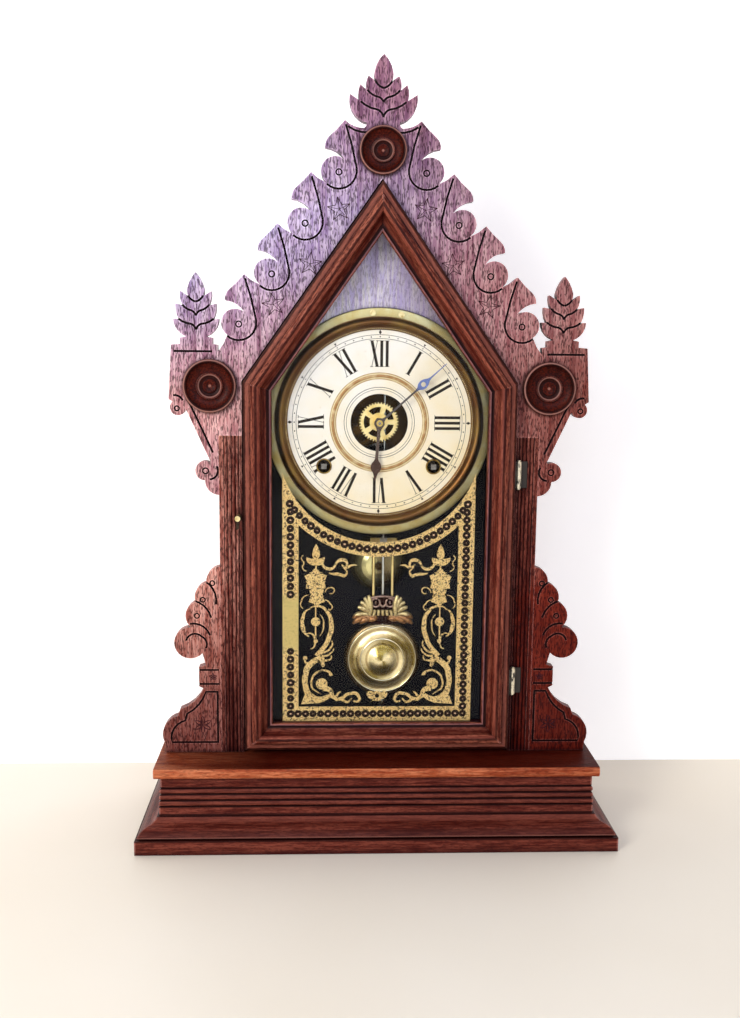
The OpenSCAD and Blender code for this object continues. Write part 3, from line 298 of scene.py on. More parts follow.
def linked(name, data):
    """A new object in the scene."""
    made = bpy.data.objects.new(name, data)
    bpy.context.scene.collection.objects.link(made)
    return made


def mesh_of(build, name):
    """The bmesh as a mesh; the bmesh is used up."""
    mesh = bpy.data.meshes.new(name)
    build.to_mesh(mesh)
    build.free()
    return mesh


def piece_from(build, name):
    """A linked object from a bmesh, with doubles merged and faces turned outwards."""
    bmesh.ops.remove_doubles(build, verts=build.verts, dist=MERGED)
    bmesh.ops.recalc_face_normals(build, faces=build.faces)
    return linked(name, mesh_of(build, name))


def prism(build, points, front, back):
    """Adds a flat piece with that outline, between two depths."""
    near = [build.verts.new((p[0], front, p[1])) for p in points]
    far = [build.verts.new((p[0], back, p[1])) for p in points]
    build.faces.new(near)
    build.faces.new(far[::-1])
    for i in range(len(points)):
        j = (i + 1) % len(points)
        build.faces.new((near[j], near[i], far[i], far[j]))


def hoop(build, radius, width, front, back, hub, count=120):
    """Adds a flat ring."""
    rims = []
    for r in (radius - width / 2, radius + width / 2):
        for depth in (front, back):
            rims.append([build.verts.new((p[0], depth, p[1])) for p in circle(r, hub, count)])
    inner_near, inner_far, outer_near, outer_far = rims
    for a, b in ((inner_near, outer_near), (outer_near, outer_far), (outer_far, inner_far),
                 (inner_far, inner_near)):
        for i in range(count):
            j = (i + 1) % count
            build.faces.new((a[i], a[j], b[j], b[i]))


def turned(name, profile, hub, closed=False, steps=128):
    """A piece turned about the Y axis through hub: profile holds radius and rise towards the viewer."""
    build = bmesh.new()
    rings = []
    for radius, rise in profile:
        count = steps if radius > MERGED else 1
        rings.append([build.verts.new((hub[0] + radius * math.sin(math.tau * k / steps), hub[1] - rise,
                                       hub[2] + radius * math.cos(math.tau * k / steps)))
                      for k in range(count)])
    for a, b in zip(rings, rings[1:] + (rings[:1] if closed else [])):
        for k in range(steps):
            corners = []
            for ring, i in ((a, k), (a, k + 1), (b, k + 1), (b, k)):
                vertex = ring[i % len(ring)]
                if vertex not in corners:
                    corners.append(vertex)
            if len(corners) > 2:
                build.faces.new(corners)
    return piece_from(build, name)


def tube(build, path, radii, sides=12):
    """Adds a round rod along 3-D points, closed at both ends."""
    rings = []
    for i, (point, radius) in enumerate(zip(path, radii)):
        along = (path[min(i + 1, len(path) - 1)] - path[max(i - 1, 0)]).normalized()
        across = along.cross(Vector((0, 1, 0)) if abs(along.y) < 0.9 else Vector((1, 0, 0))).normalized()
        up = across.cross(along)
        rings.append([build.verts.new(point + radius * (math.cos(math.tau * k / sides) * across
                                                        + math.sin(math.tau * k / sides) * up))
                      for k in range(sides)])
    for a, b in zip(rings, rings[1:]):
        for k in range(sides):
            j = (k + 1) % sides
            build.faces.new((a[k], a[j], b[j], b[k]))
    build.faces.new(rings[0][::-1])
    build.faces.new(rings[-1])


def cut_sheet(name, outlines, front, back, ease=0.0):
    """A flat piece cut from sheet: the first outline is its edge and the others are holes."""
    curve = bpy.data.curves.new(name, "CURVE")
    curve.dimensions = "2D"
    curve.fill_mode = "BOTH"
    curve.extrude = (back - front) / 2 - ease
    curve.bevel_depth = ease
    curve.bevel_resolution = 1
    curve.offset = -ease
    for line in outlines:
        spline = curve.splines.new("POLY")
        spline.points.add(len(line) - 1)
        for knot, p in zip(spline.points, line):
            knot.co = (p[0], p[1], 0, 1)
        spline.use_cyclic_u = True
    drawn = linked(name + "_outline", curve)
    mesh = bpy.data.meshes.new_from_object(drawn.evaluated_get(bpy.context.evaluated_depsgraph_get()))
    bpy.data.objects.remove(drawn)
    mesh.transform(Matrix.Translation((0, (front + back) / 2, 0)) @ Matrix.Rotation(math.pi / 2, 4, "X"))
    build = bmesh.new()
    build.from_mesh(mesh)
    return piece_from(build, name)


def smooth(piece, angle=32):
    """Shades a piece smooth, apart from its real edges."""
    piece.data.shade_smooth()
    piece.data.set_sharp_from_angle(angle=math.radians(angle))
    return piece


def plain(piece):
    """Turns what the modifiers make into the piece's own mesh."""
    shape = bpy.data.meshes.new_from_object(piece.evaluated_get(bpy.context.evaluated_depsgraph_get()))
    piece.modifiers.clear()
    piece.data = shape
    return piece


def eased(node, width, segments=2):
    """A copy of a CAD node with whole faces and eased edges. A width of 0 only copies."""
    build = bmesh.new()
    build.from_mesh(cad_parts[node].data)
    bmesh.ops.remove_doubles(build, verts=build.verts, dist=2e-6)
    if width:
        bmesh.ops.dissolve_limit(build, angle_limit=math.radians(0.6), verts=build.verts, edges=build.edges)
    mesh = mesh_of(build, node + "_finished")
    mesh.materials.clear()
    piece = linked(node + "_finished", mesh)
    if not width:
        return smooth(piece, 8)
    edge = piece.modifiers.new("eased edges", "BEVEL")
    edge.width = width
    edge.segments = segments
    edge.limit_method = "ANGLE"
    edge.angle_limit = math.radians(28)
    edge.miter_outer = "MITER_SHARP"
    edge.use_clamp_overlap = True
    return smooth(plain(piece), 24)


def finish(piece, material, body, slot, *nodes):
    """Gives a piece its finish, its body and the CAD nodes that it stands for."""
    if not piece.data.materials:
        piece.data.materials.append(material)
    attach(piece, body)
    if nodes:
        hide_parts(*nodes)
    return piece


def dress(material, *nodes):
    """Gives CAD nodes a better material."""
    for node in nodes:
        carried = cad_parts[node]
        if not carried.material_slots:
            carried.data.materials.append(material)
        for slot in carried.material_slots:
            slot.material = material


# Shader nodes

def add(tree, kind, inputs=None, **settings):
    """Adds one node: its settings, and for each input a value or the socket that feeds it."""
    made = tree.nodes.new(kind)
    for name, value in settings.items():
        setattr(made, name, value)
    for name, value in (inputs or {}).items():
        if isinstance(value, bpy.types.NodeSocket):
            tree.links.new(value, made.inputs[name])
        else:
            made.inputs[name].default_value = value
    return made


def opaque(colour):
    return tuple(colour)[:3] + (1.0,)


def new_material(name):
    """A material with its tree emptied, its output and the Object coordinates."""
    material = bpy.data.materials.new(name)
    material.use_nodes = True
    tree = material.node_tree
    tree.nodes.clear()
    place = add(tree, "ShaderNodeTexCoord").outputs["Object"]
    return material, tree, place


def stretched(tree, place, along, across_x, across_y):
    """Coordinates for a pattern of one unit per given distances, with Z along the grain."""
    scale = (1 / across_x, 1 / across_y, 1 / along)
    return add(tree, "ShaderNodeVectorMath", {0: place, 1: scale}, operation="MULTIPLY").outputs[0]


def noise(tree, place, detail=2.0, rough=0.5, distort=0.0):
    return add(tree, "ShaderNodeTexNoise", {"Vector": place, "Scale": 1.0, "Detail": detail,
                                            "Roughness": rough, "Distortion": distort}).outputs[0]


def clouded(tree, place, size, detail=2.0, rough=0.5):
    """Noise of one size in every direction, in millimetres."""
    return noise(tree, stretched(tree, place, size * MM, size * MM, size * MM), detail, rough)


def ranged(tree, value, low, high, to_low=0.0, to_high=1.0):
    return add(tree, "ShaderNodeMapRange", {"Value": value, "From Min": low, "From Max": high,
                                            "To Min": to_low, "To Max": to_high}).outputs[0]


def blended(tree, share, a, b, kind="MIX"):
    """Colour a turned towards b by share."""
    inputs = {0: share, 6: a if isinstance(a, bpy.types.NodeSocket) else opaque(a),
              7: b if isinstance(b, bpy.types.NodeSocket) else opaque(b)}
    return add(tree, "ShaderNodeMix", inputs, data_type="RGBA", blend_type=kind).outputs[2]


def calculated(tree, operation, a, b=0.0):
    return add(tree, "ShaderNodeMath", {0: a, 1: b}, operation=operation).outputs[0]


def plus(tree, a, b):
    return calculated(tree, "ADD", a, b)


def minus(tree, a, b):
    return calculated(tree, "SUBTRACT", a, b)


def times(tree, a, b):
    return calculated(tree, "MULTIPLY", a, b)


def apart(tree, a, b):
    """How far two values are from each other."""
    return calculated(tree, "ABSOLUTE", minus(tree, a, b))


def parted(tree, vector):
    """X, Y and Z of a vector."""
    return add(tree, "ShaderNodeSeparateXYZ", {0: vector}).outputs


def looking(tree):
    """X, Y and Z of the direction in which a face looks."""
    return parted(tree, add(tree, "ShaderNodeNewGeometry").outputs["Normal"])


def offset_from(tree, place, hub):
    return add(tree, "ShaderNodeVectorMath", {0: place, 1: tuple(hub)}, operation="SUBTRACT").outputs[0]


def radius_of(tree, offset):
    """Distance from an axis that runs from front to back."""
    flat = add(tree, "ShaderNodeVectorMath", {0: offset, 1: (1, 0, 1)}, operation="MULTIPLY").outputs[0]
    return add(tree, "ShaderNodeVectorMath", {0: flat}, operation="LENGTH").outputs["Value"]


def bumped(tree, height, distance, strength=1.0):
    return add(tree, "ShaderNodeBump", {"Height": height, "Distance": distance,
                                        "Strength": strength}).outputs[0]


def shown(tree, shader):
    add(tree, "ShaderNodeOutputMaterial", {"Surface": shader})


def skinned(material, inputs):
    """The material, ended with a Principled shader."""
    tree = material.node_tree
    shown(tree, add(tree, "ShaderNodeBsdfPrincipled", inputs).outputs[0])
    return material


UPRIGHT = (0, 0, 0)
LEVEL = (0, math.pi / 2, 0)
DEEP = (math.pi / 2, 0, 0)
RAFTER_RIGHT = (0, math.pi / 2 - PITCH, 0)
RAFTER_LEFT = (0, PITCH - math.pi / 2, 0)


def from_side(tree, parts):
    """Distance inwards from the door's upright edges."""
    return minus(tree, DOOR_HALF, calculated(tree, "ABSOLUTE", parts[0]))


def from_foot(tree, parts):
    """Distance upwards from the door's lower edge."""
    return minus(tree, parts[2], DOOR_FOOT)


def from_roof(tree, parts):
    """Distance inwards from the door's sloping edges."""
    out = times(tree, from_side(tree, parts), math.sin(PITCH))
    up = times(tree, minus(tree, SHOULDER, parts[2]), math.cos(PITCH))
    return plus(tree, out, up)


def from_table(tree, parts):
    """Height over the table."""
    return parts[2]


def from_centre(centre, scale):
    """Distance from the middle of a turned piece, brought to the size of the large rosettes."""
    def across(tree, parts):
        x = minus(tree, parts[0], centre.x)
        z = minus(tree, parts[2], centre.z)
        squares = plus(tree, times(tree, x, x), times(tree, z, z))
        return times(tree, calculated(tree, "SQRT", squares), scale)
    return across


ROSETTE_RADIUS = 20.5 * MM
# Painted highlights on the rosettes' beads and painted shade in their hollows, by radius
ROSETTE_SHADING = ((19.6, 0.25, 0.55, "#c08c80"), (18.0, 0.6, 0.7, "#140202"), (8.6, 0.22, 0.5, "#c08c80"),
                 (6.6, 1.2, 0.7, "#140202"), (0.0, 0.8, 0.5, "#b07868"))
# Painted shade in the quirks and painted highlights on the ridges, with some grime and wear, as bands across
# a moulding: middle, half width, share and colour
DOOR_SHADING = ((0.4, 0.9, 0.85, "#1c0404"), (3.2, 1.0, 0.45, "#9a5a4c"), (10.2, 0.8, 0.8, "#240505"),
              (12.0, 0.8, 0.4, "#8a4436"), (15.6, 2.0, 0.45, "#4a120a"), (19.0, 1.0, 0.92, "#140306"),
              (20.7, 0.3, 0.4, "#80646e"))
BASE_SHADING = ((15.0, 2.6, 0.5, "#2a0a08"), (23.0, 1.4, 0.3, "#8a4a3c"), (11.5, 0.7, 0.85, "#200504"),
              (12.9, 0.5, 0.4, "#a06a5c"), (25.5, 0.7, 0.85, "#200504"), (32.5, 0.7, 0.9, "#180303"),
              (35.0, 0.8, 0.2, "#7a4a40"), (37.5, 0.7, 0.9, "#180303"), (40.0, 0.8, 0.2, "#7a4a40"),
              (42.5, 0.7, 0.9, "#180303"), (45.0, 0.8, 0.2, "#7a4a40"), (47.5, 0.7, 0.9, "#180303"),
              (56.6, 0.7, 0.6, "#200504"))


def painted_shading_bands(tree, colour, across, bands):
    """Painted shade and grime along the quirks, and painted highlights with rubbed wood along the ridges of a
    moulding.
    """
    for centre, half, share, shade in bands:
        off = apart(tree, across, centre * MM)
        colour = blended(tree, ranged(tree, off, half * MM, (half + 0.5) * MM, share, 0.0), colour,
                         linear(shade))
    return colour


def groove_shade_share(tree, parts):
    """Mask of the carved grooves, where shade is painted: faces that still look forwards, sunk under the face
    of the board.
    """
    sunk = ranged(tree, parts[1], CASE_FRONT + 0.12 * MM, CASE_FRONT + 0.3 * MM)
    return times(tree, sunk, ranged(tree, looking(tree)[1], -0.48, -0.54))


def case_inside(tree, place):
    """Mask of the inside of the case, stained and painted near-black for its shade: 1 within its side and
    roof boards.
    """
    parts = parted(tree, place)
    out = minus(tree, calculated(tree, "ABSOLUTE", parts[0]), DOOR_HALF)
    up = minus(tree, parts[2], SHOULDER)
    slope = plus(tree, times(tree, out, math.sin(PITCH)), times(tree, up, math.cos(PITCH)))
    margin = -3.4 * MM
    within = times(tree, calculated(tree, "LESS_THAN", out, margin),
                   calculated(tree, "LESS_THAN", slope, margin))
    before_back = calculated(tree, "LESS_THAN", parts[1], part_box("back_board")[0].y + 0.3 * MM)
    return times(tree, within, before_back)


def darkened(tree, share, colour, factor):
    """The colour, multiplied by factor as far as share says."""
    return blended(tree, share, colour, blended(tree, 1.0, colour, factor, "MULTIPLY"))


def sky_sheen_share(tree, parts, patches):
    """Share of the painted sky sheen in the varnish: strong on the crest above the door's corners, and less
    to the right.
    """
    high = ranged(tree, parts[2], SHOULDER - 10 * MM, SHOULDER + 130 * MM, 0.15, 1.0)
    left = ranged(tree, parts[0], -FRONT_HALF, FRONT_HALF, 1.15, 0.12)
    cloud = ranged(tree, patches, 0.3, 0.7, 0.75, 1.15)
    return times(tree, times(tree, high, left), cloud)


def right_shade_share(tree, parts):
    """Share of painted shade in the finish: none on the left, most on the right near the foot."""
    right = ranged(tree, parts[0], -0.3 * FRONT_HALF, 0.85 * FRONT_HALF)
    beside = ranged(tree, parts[2], SHOULDER + 45 * MM, SHOULDER - 20 * MM, 0.42, 0.8)
    below = ranged(tree, parts[2], SHOULDER - 40 * MM, SHOULDER - 120 * MM, 0.0, 0.2)
    above = ranged(tree, parts[2], SHOULDER + 45 * MM, SHOULDER + 95 * MM, 0.0, 0.2)
    low = plus(tree, plus(tree, beside, below), above)
    foot = ranged(tree, parts[2], SHELF_TOP + 150 * MM, SHELF_TOP + 50 * MM, 0.0, 0.7)
    return calculated(tree, "MINIMUM", plus(tree, times(tree, right, low), foot), 1.0)


def walnut(name, wood, mid, light, grain=UPRIGHT, shine=0.07, edge_rub_and_highlight=0.6, pore=0.9, grime_and_shade=4 * MM, sky_sheen=False,
           right_shade=False, inside=False, shaded_top=False, carved=False, shaded=False,
           bands=(), across=from_table):
    """Black walnut under old shellac: long streaks, open dark pores and a broken soft shine."""
    material, tree, place = new_material(name)
    parts = parted(tree, place)
    laid = add(tree, "ShaderNodeMapping", {"Vector": place, "Rotation": grain}).outputs[0]
    # Growth rings about 7 mm apart, drawn out along the board
    rings = noise(tree, stretched(tree, laid, 120 * MM, 7 * MM, 12 * MM), 3, 0.55, 0.8)
    # Fibres are 0.3 mm wide in the wood and are drawn 1.5 mm wide, so that they show
    fibres = noise(tree, stretched(tree, laid, 17 * MM, 1.5 * MM, 1.5 * MM), 2, 0.6)
    # Pores are 0.25 mm wide in the wood and are drawn 0.9 mm wide and 3.5 mm long, so that they show
    specks = noise(tree, stretched(tree, laid, 3.5 * MM, 0.9 * MM, 0.9 * MM), 1, 0.4)
    pores = ranged(tree, specks, 0.52, 0.6)
    patches = clouded(tree, place, 60, 2)
    # Painted reflection of the sky in the varnish, strongest high up and on the left
    if sky_sheen:
        share = sky_sheen_share(tree, parts, patches)
        mid, light = blended(tree, share, mid, wood.sky_sheen), blended(tree, share, light, wood.sky_sheen_light)
    streaks = plus(tree, ranged(tree, rings, 0.35, 0.7, -0.25, 0.35), ranged(tree, fibres, 0.38, 0.66))
    colour = blended(tree, calculated(tree, "MINIMUM", streaks, 1.0), mid, light)
    colour = darkened(tree, ranged(tree, rings, 0.48, 0.3, 0.0, 0.55), colour, (0.45, 0.3, 0.32))
    if right_shade:
        # Painted shade low on the right, then darker still just above the shelf
        colour = darkened(tree, right_shade_share(tree, parts), colour, wood.right_shade)
        foot = ranged(tree, parts[2], SHELF_TOP + 70 * MM, SHELF_TOP + 40 * MM, 0.0, 0.8)
        colour = darkened(tree, foot, colour, (0.62, 0.54, 0.56))
    if shaded:
        # The side that looks away from the window is darker
        shade = ranged(tree, parts[0], -25 * MM, 55 * MM)
        colour = darkened(tree, shade, colour, (0.42, 0.36, 0.46))
    if sky_sheen:
        finial = ranged(tree, parts[2], CREST_TOP - 110 * MM, CREST_TOP - 30 * MM, 0.0, 0.9)
        colour = darkened(tree, finial, colour, (0.66, 0.42, 0.44))
    colour = darkened(tree, ranged(tree, patches, 0.45, 0.7, 0.0, 0.35), colour, (0.5, 0.4, 0.4))
    # Convex edges are rubbed light and carry a painted highlight: from inside the wood, a face lies within 1
    # mm of them
    arris = add(tree, "ShaderNodeAmbientOcclusion", {"Distance": 1.1 * MM}, samples=5,
                inside=True).outputs["AO"]
    colour = blended(tree, ranged(tree, arris, 0.86, 0.5, 0.0, edge_rub_and_highlight), colour,
                     darkened(tree, 1.0, colour, (2.2, 2.4, 2.4)))
    colour = blended(tree, ranged(tree, arris, 0.7, 0.4, 0.0, edge_rub_and_highlight * 0.5), colour, wood.rubbed_and_highlit)
    colour = blended(tree, times(tree, pores, pore), colour, wood.pore)
    # Painted shade and grime in the corners and grooves, close to a neighbouring face
    open_air = add(tree, "ShaderNodeAmbientOcclusion", {"Distance": grime_and_shade}, samples=6).outputs["AO"]
    colour = blended(tree, ranged(tree, open_air, 0.42, 0.92, 0.98, 0.0), colour, wood.pore)
    if bands:
        colour = painted_shading_bands(tree, colour, across(tree, parts), bands)
    if carved:
        # Painted shade fills the carved grooves near-black
        colour = blended(tree, groove_shade_share(tree, parts), colour, linear("#120306"))
    if inside:
        # Stain and painted shade on the inside of the case
        colour = blended(tree, case_inside(tree, place), colour, wood.inside)
    if shaded_top:
        # Painted shade: the upward-facing top is darkened nearly black, less at its left end
        top = ranged(tree, looking(tree)[2], 0.5, 0.8)
        end = ranged(tree, parts[0], -FRONT_HALF, -0.5 * FRONT_HALF, 0.45, 1.0)
        colour = darkened(tree, times(tree, top, end), colour, (0.13, 0.05, 0.05))
    height = minus(tree, times(tree, fibres, 0.3), pores)
    rough = ranged(tree, patches, 0.35, 0.7, 0.3, 0.46)
    return skinned(material, {"Base Color": colour, "Roughness": rough,
                              "Normal": bumped(tree, height, 0.12 * MM, 0.6), "Specular IOR Level": shine})


def metal(name, bright, dull, roughness=0.28, spin=None, spacing=0.6, grain=3.0):
    """Metal with tarnish in soft clouds. Where spin gives a hub, lathe lines run round it; they are
    0.1 mm apart on the real piece and are drawn wider apart, so that they show."""
    material, tree, place = new_material(name)
    clouds = clouded(tree, place, grain, 4, 0.6)
    fine = clouded(tree, place, 0.7, 2, 0.6)
    colour = blended(tree, ranged(tree, clouds, 0.4, 0.72), bright, dull)
    height = times(tree, fine, 0.3)
    if spin is not None:
        radius = radius_of(tree, offset_from(tree, place, spin))
        lines = calculated(tree, "SINE", times(tree, radius, math.tau / (spacing * MM)))
        height = plus(tree, height, times(tree, lines, 0.5))
    return skinned(material, {"Base Color": colour, "Metallic": 1.0,
                              "Roughness": ranged(tree, clouds, 0.35, 0.7, roughness, roughness + 0.18),
                              "Normal": bumped(tree, height, 0.02 * MM, 0.5)})


def dial_paper(dial):
    """Printed dial paper, glued on zinc: matt, browned and painted with shade towards the lower right, foxed
    in small specks.
    """
    material, tree, place = new_material("aged dial paper")
    parts = parted(tree, offset_from(tree, place, DIAL))
    # Browner towards the lower right: browning, and painted shade away from the light
    fall = minus(tree, parts[0], parts[2])
    clouds = clouded(tree, place, 30, 4, 0.6)
    browning_and_shade = plus(tree, ranged(tree, fall, -80 * MM, 90 * MM, 0.0, 0.75),
                  ranged(tree, clouds, 0.3, 0.7, -0.2, 0.3))
    foxing = ranged(tree, clouded(tree, place, 2.4, 2), 0.68, 0.78, 0, 0.25)
    colour = blended(tree, browning_and_shade, dial.paper, dial.paper_browned_and_shaded)
    colour = blended(tree, foxing, colour, linear("#b08a55"))
    fibre = clouded(tree, place, 0.8, 2)
    return skinned(material, {"Base Color": colour, "Roughness": 0.62,
                              "Normal": bumped(tree, fibre, 0.02 * MM, 0.3)})


def matt(name, colour, shade, roughness=0.5, grain=2.0):
    """Ink or paint: nearly even, with faint clouds where it lies thinner."""
    material, tree, place = new_material(name)
    clouds = clouded(tree, place, grain, 3)
    return skinned(material, {"Base Color": blended(tree, ranged(tree, clouds, 0.35, 0.75), colour, shade),
                              "Specular IOR Level": 0.12, "Roughness": roughness,
                              "Normal": bumped(tree, clouds, 0.01 * MM, 0.3)})


def bronze_powder(tablet):
    """Bronze powder stencilled on size behind glass: warm gold with bright and dark grains."""
    material, tree, place = new_material("bronze powder gilding")
    # Grains are finer than 0.1 mm and are drawn 1 mm wide, so that they show
    grains = clouded(tree, place, 1.0, 2, 0.7)
    clouds = clouded(tree, place, 18, 3)
    colour = blended(tree, ranged(tree, grains, 0.38, 0.66), tablet.gold, tablet.gold_light)
    colour = blended(tree, ranged(tree, grains, 0.46, 0.38, 0.0, 0.85), colour, linear("#7a4c1e"))
    colour = blended(tree, ranged(tree, clouds, 0.4, 0.75, 0.0, 0.35), colour, linear("#b98a3c"))
    # Flaked specks let the dark inside show, and one patch of the left band has worn thin
    flakes = clouded(tree, place, 1.5, 2, 0.6)
    colour = blended(tree, ranged(tree, flakes, 0.56, 0.62, 0.0, 0.9), colour, tablet.outline)
    parts = parted(tree, place)
    left = calculated(tree, "LESS_THAN", parts[0], tablet.band - tablet.half_width)
    level = apart(tree, parts[2], WORN_LEVEL * MM)
    worn = times(tree, left, ranged(tree, level, 26 * MM, 18 * MM, 0.0, 0.8))
    colour = blended(tree, worn, colour, linear("#c6b26c"))
    return skinned(material, {"Base Color": colour, "Metallic": 0.25,
                              "Roughness": ranged(tree, grains, 0.3, 0.7, 0.36, 0.6),
                              "Normal": bumped(tree, grains, 0.05 * MM, 0.4)})


def window_glass():
    """Old drawn glass: clear, faintly wavy, with a weak reflection at its two faces."""
    material, tree, place = new_material("drawn glass")
    waves = noise(tree, stretched(tree, place, 45 * MM, 25 * MM, 25 * MM), 1)
    clear = add(tree, "ShaderNodeBsdfTransparent", {"Color": (0.985, 0.99, 0.985, 1)}).outputs[0]
    mirror = add(tree, "ShaderNodeBsdfPrincipled", {
        "Base Color": (1, 1, 1, 1), "Metallic": 1.0, "Roughness": 0.03,
        "Normal": bumped(tree, waves, 0.15 * MM, 0.4)}).outputs[0]
    share = times(tree, add(tree, "ShaderNodeFresnel", {"IOR": 1.5}).outputs[0], 0.16)
    shown(tree, add(tree, "ShaderNodeMixShader", {0: share, 1: clear, 2: mirror}).outputs[0])
    return material


# Beads, dots and milling, set along lines by one Geometry Nodes tree

def bead_tree():
    """A tree that sets beads at even steps along the edges of its piece. The seed is fixed."""
    tree = bpy.data.node_groups.new("beads along a line", "GeometryNodeTree")
    for name, kind in (("Geometry", "NodeSocketGeometry"), ("Spacing", "NodeSocketFloat"),
                       ("Size", "NodeSocketVector"), ("Variation", "NodeSocketFloat"),
                       ("Material", "NodeSocketMaterial")):
        tree.interface.new_socket(name, in_out="INPUT", socket_type=kind)
    tree.interface.new_socket("Geometry", in_out="OUTPUT", socket_type="NodeSocketGeometry")
    given = tree.nodes.new("NodeGroupInput").outputs
    line = add(tree, "GeometryNodeMeshToCurve", {"Mesh": given["Geometry"]}).outputs[0]
    steps = add(tree, "GeometryNodeResampleCurve", {"Curve": line, "Length": given["Spacing"]},
                mode="LENGTH").outputs[0]
    bead = add(tree, "GeometryNodeMeshIcoSphere", {"Radius": 1.0, "Subdivisions": 3}).outputs["Mesh"]
    bead = add(tree, "GeometryNodeSetShadeSmooth", {"Geometry": bead}).outputs[0]
    least = minus(tree, 1.0, given["Variation"])
    jitter = add(tree, "FunctionNodeRandomValue", {"Min": least, "Max": 1.0, "Seed": 7}, data_type="FLOAT")
    share = next(socket for socket in jitter.outputs if socket.enabled)
    for socket, value in zip([s for s in jitter.inputs if s.enabled], (least, 1.0)):
        if isinstance(value, bpy.types.NodeSocket):
            tree.links.new(value, socket)
        else:
            socket.default_value = value
    size = add(tree, "ShaderNodeVectorMath", {0: given["Size"], "Scale": share}, operation="SCALE").outputs[0]
    beads = add(tree, "GeometryNodeInstanceOnPoints", {"Points": steps, "Instance": bead,
                                                       "Scale": size}).outputs[0]
    solid = add(tree, "GeometryNodeRealizeInstances", {0: beads}).outputs[0]
    painted = add(tree, "GeometryNodeSetMaterial",
                  {"Geometry": solid, "Material": given["Material"]}).outputs[0]
    add(tree, "NodeGroupOutput", {"Geometry": painted})
    return tree


def beaded(name, lines, spacing, size, material, variation=0.0, closed=False):
    """A row of beads along each of the lines, which are lists of 3-D points."""
    tree = bpy.data.node_groups.get("beads along a line") or bead_tree()
    build = bmesh.new()
    for line in lines:
        knots = [build.verts.new(p) for p in line]
        for a, b in zip(knots, knots[1:] + (knots[:1] if closed else [])):
            build.edges.new((a, b))
    piece = linked(name, mesh_of(build, name))
    rows = piece.modifiers.new("beads", "NODES")
    rows.node_group = tree
    values = {"Spacing": spacing, "Size": size, "Variation": variation, "Material": material}
    for socket in tree.interface.items_tree:
        if socket.in_out == "INPUT" and socket.name in values:
            rows[socket.identifier] = values[socket.name]
    return plain(piece)


# Stage

def lamp(name, place, aim, size, watts, colour):
    """A window or a bright wall, as a rectangular lamp."""
    light = bpy.data.lights.new(name, "AREA")
    light.shape = "RECTANGLE"
    light.size, light.size_y = size
    light.energy = watts
    light.color = linear(colour)
    holder = linked(name, light)
    holder.location = place
    holder.rotation_euler = (Vector(aim) - Vector(place)).to_track_quat("-Z", "Y").to_euler()


def flat_card(name, corners, material):
    build = bmesh.new()
    build.faces.new([build.verts.new(c) for c in corners])
    card = linked(name, mesh_of(build, name))
    card.data.materials.append(material)


class Step:
    """What the operators share: each one makes its pieces from the scene's settings."""

    def execute(self, context):
        self.make(context.scene)
        return {"FINISHED"}


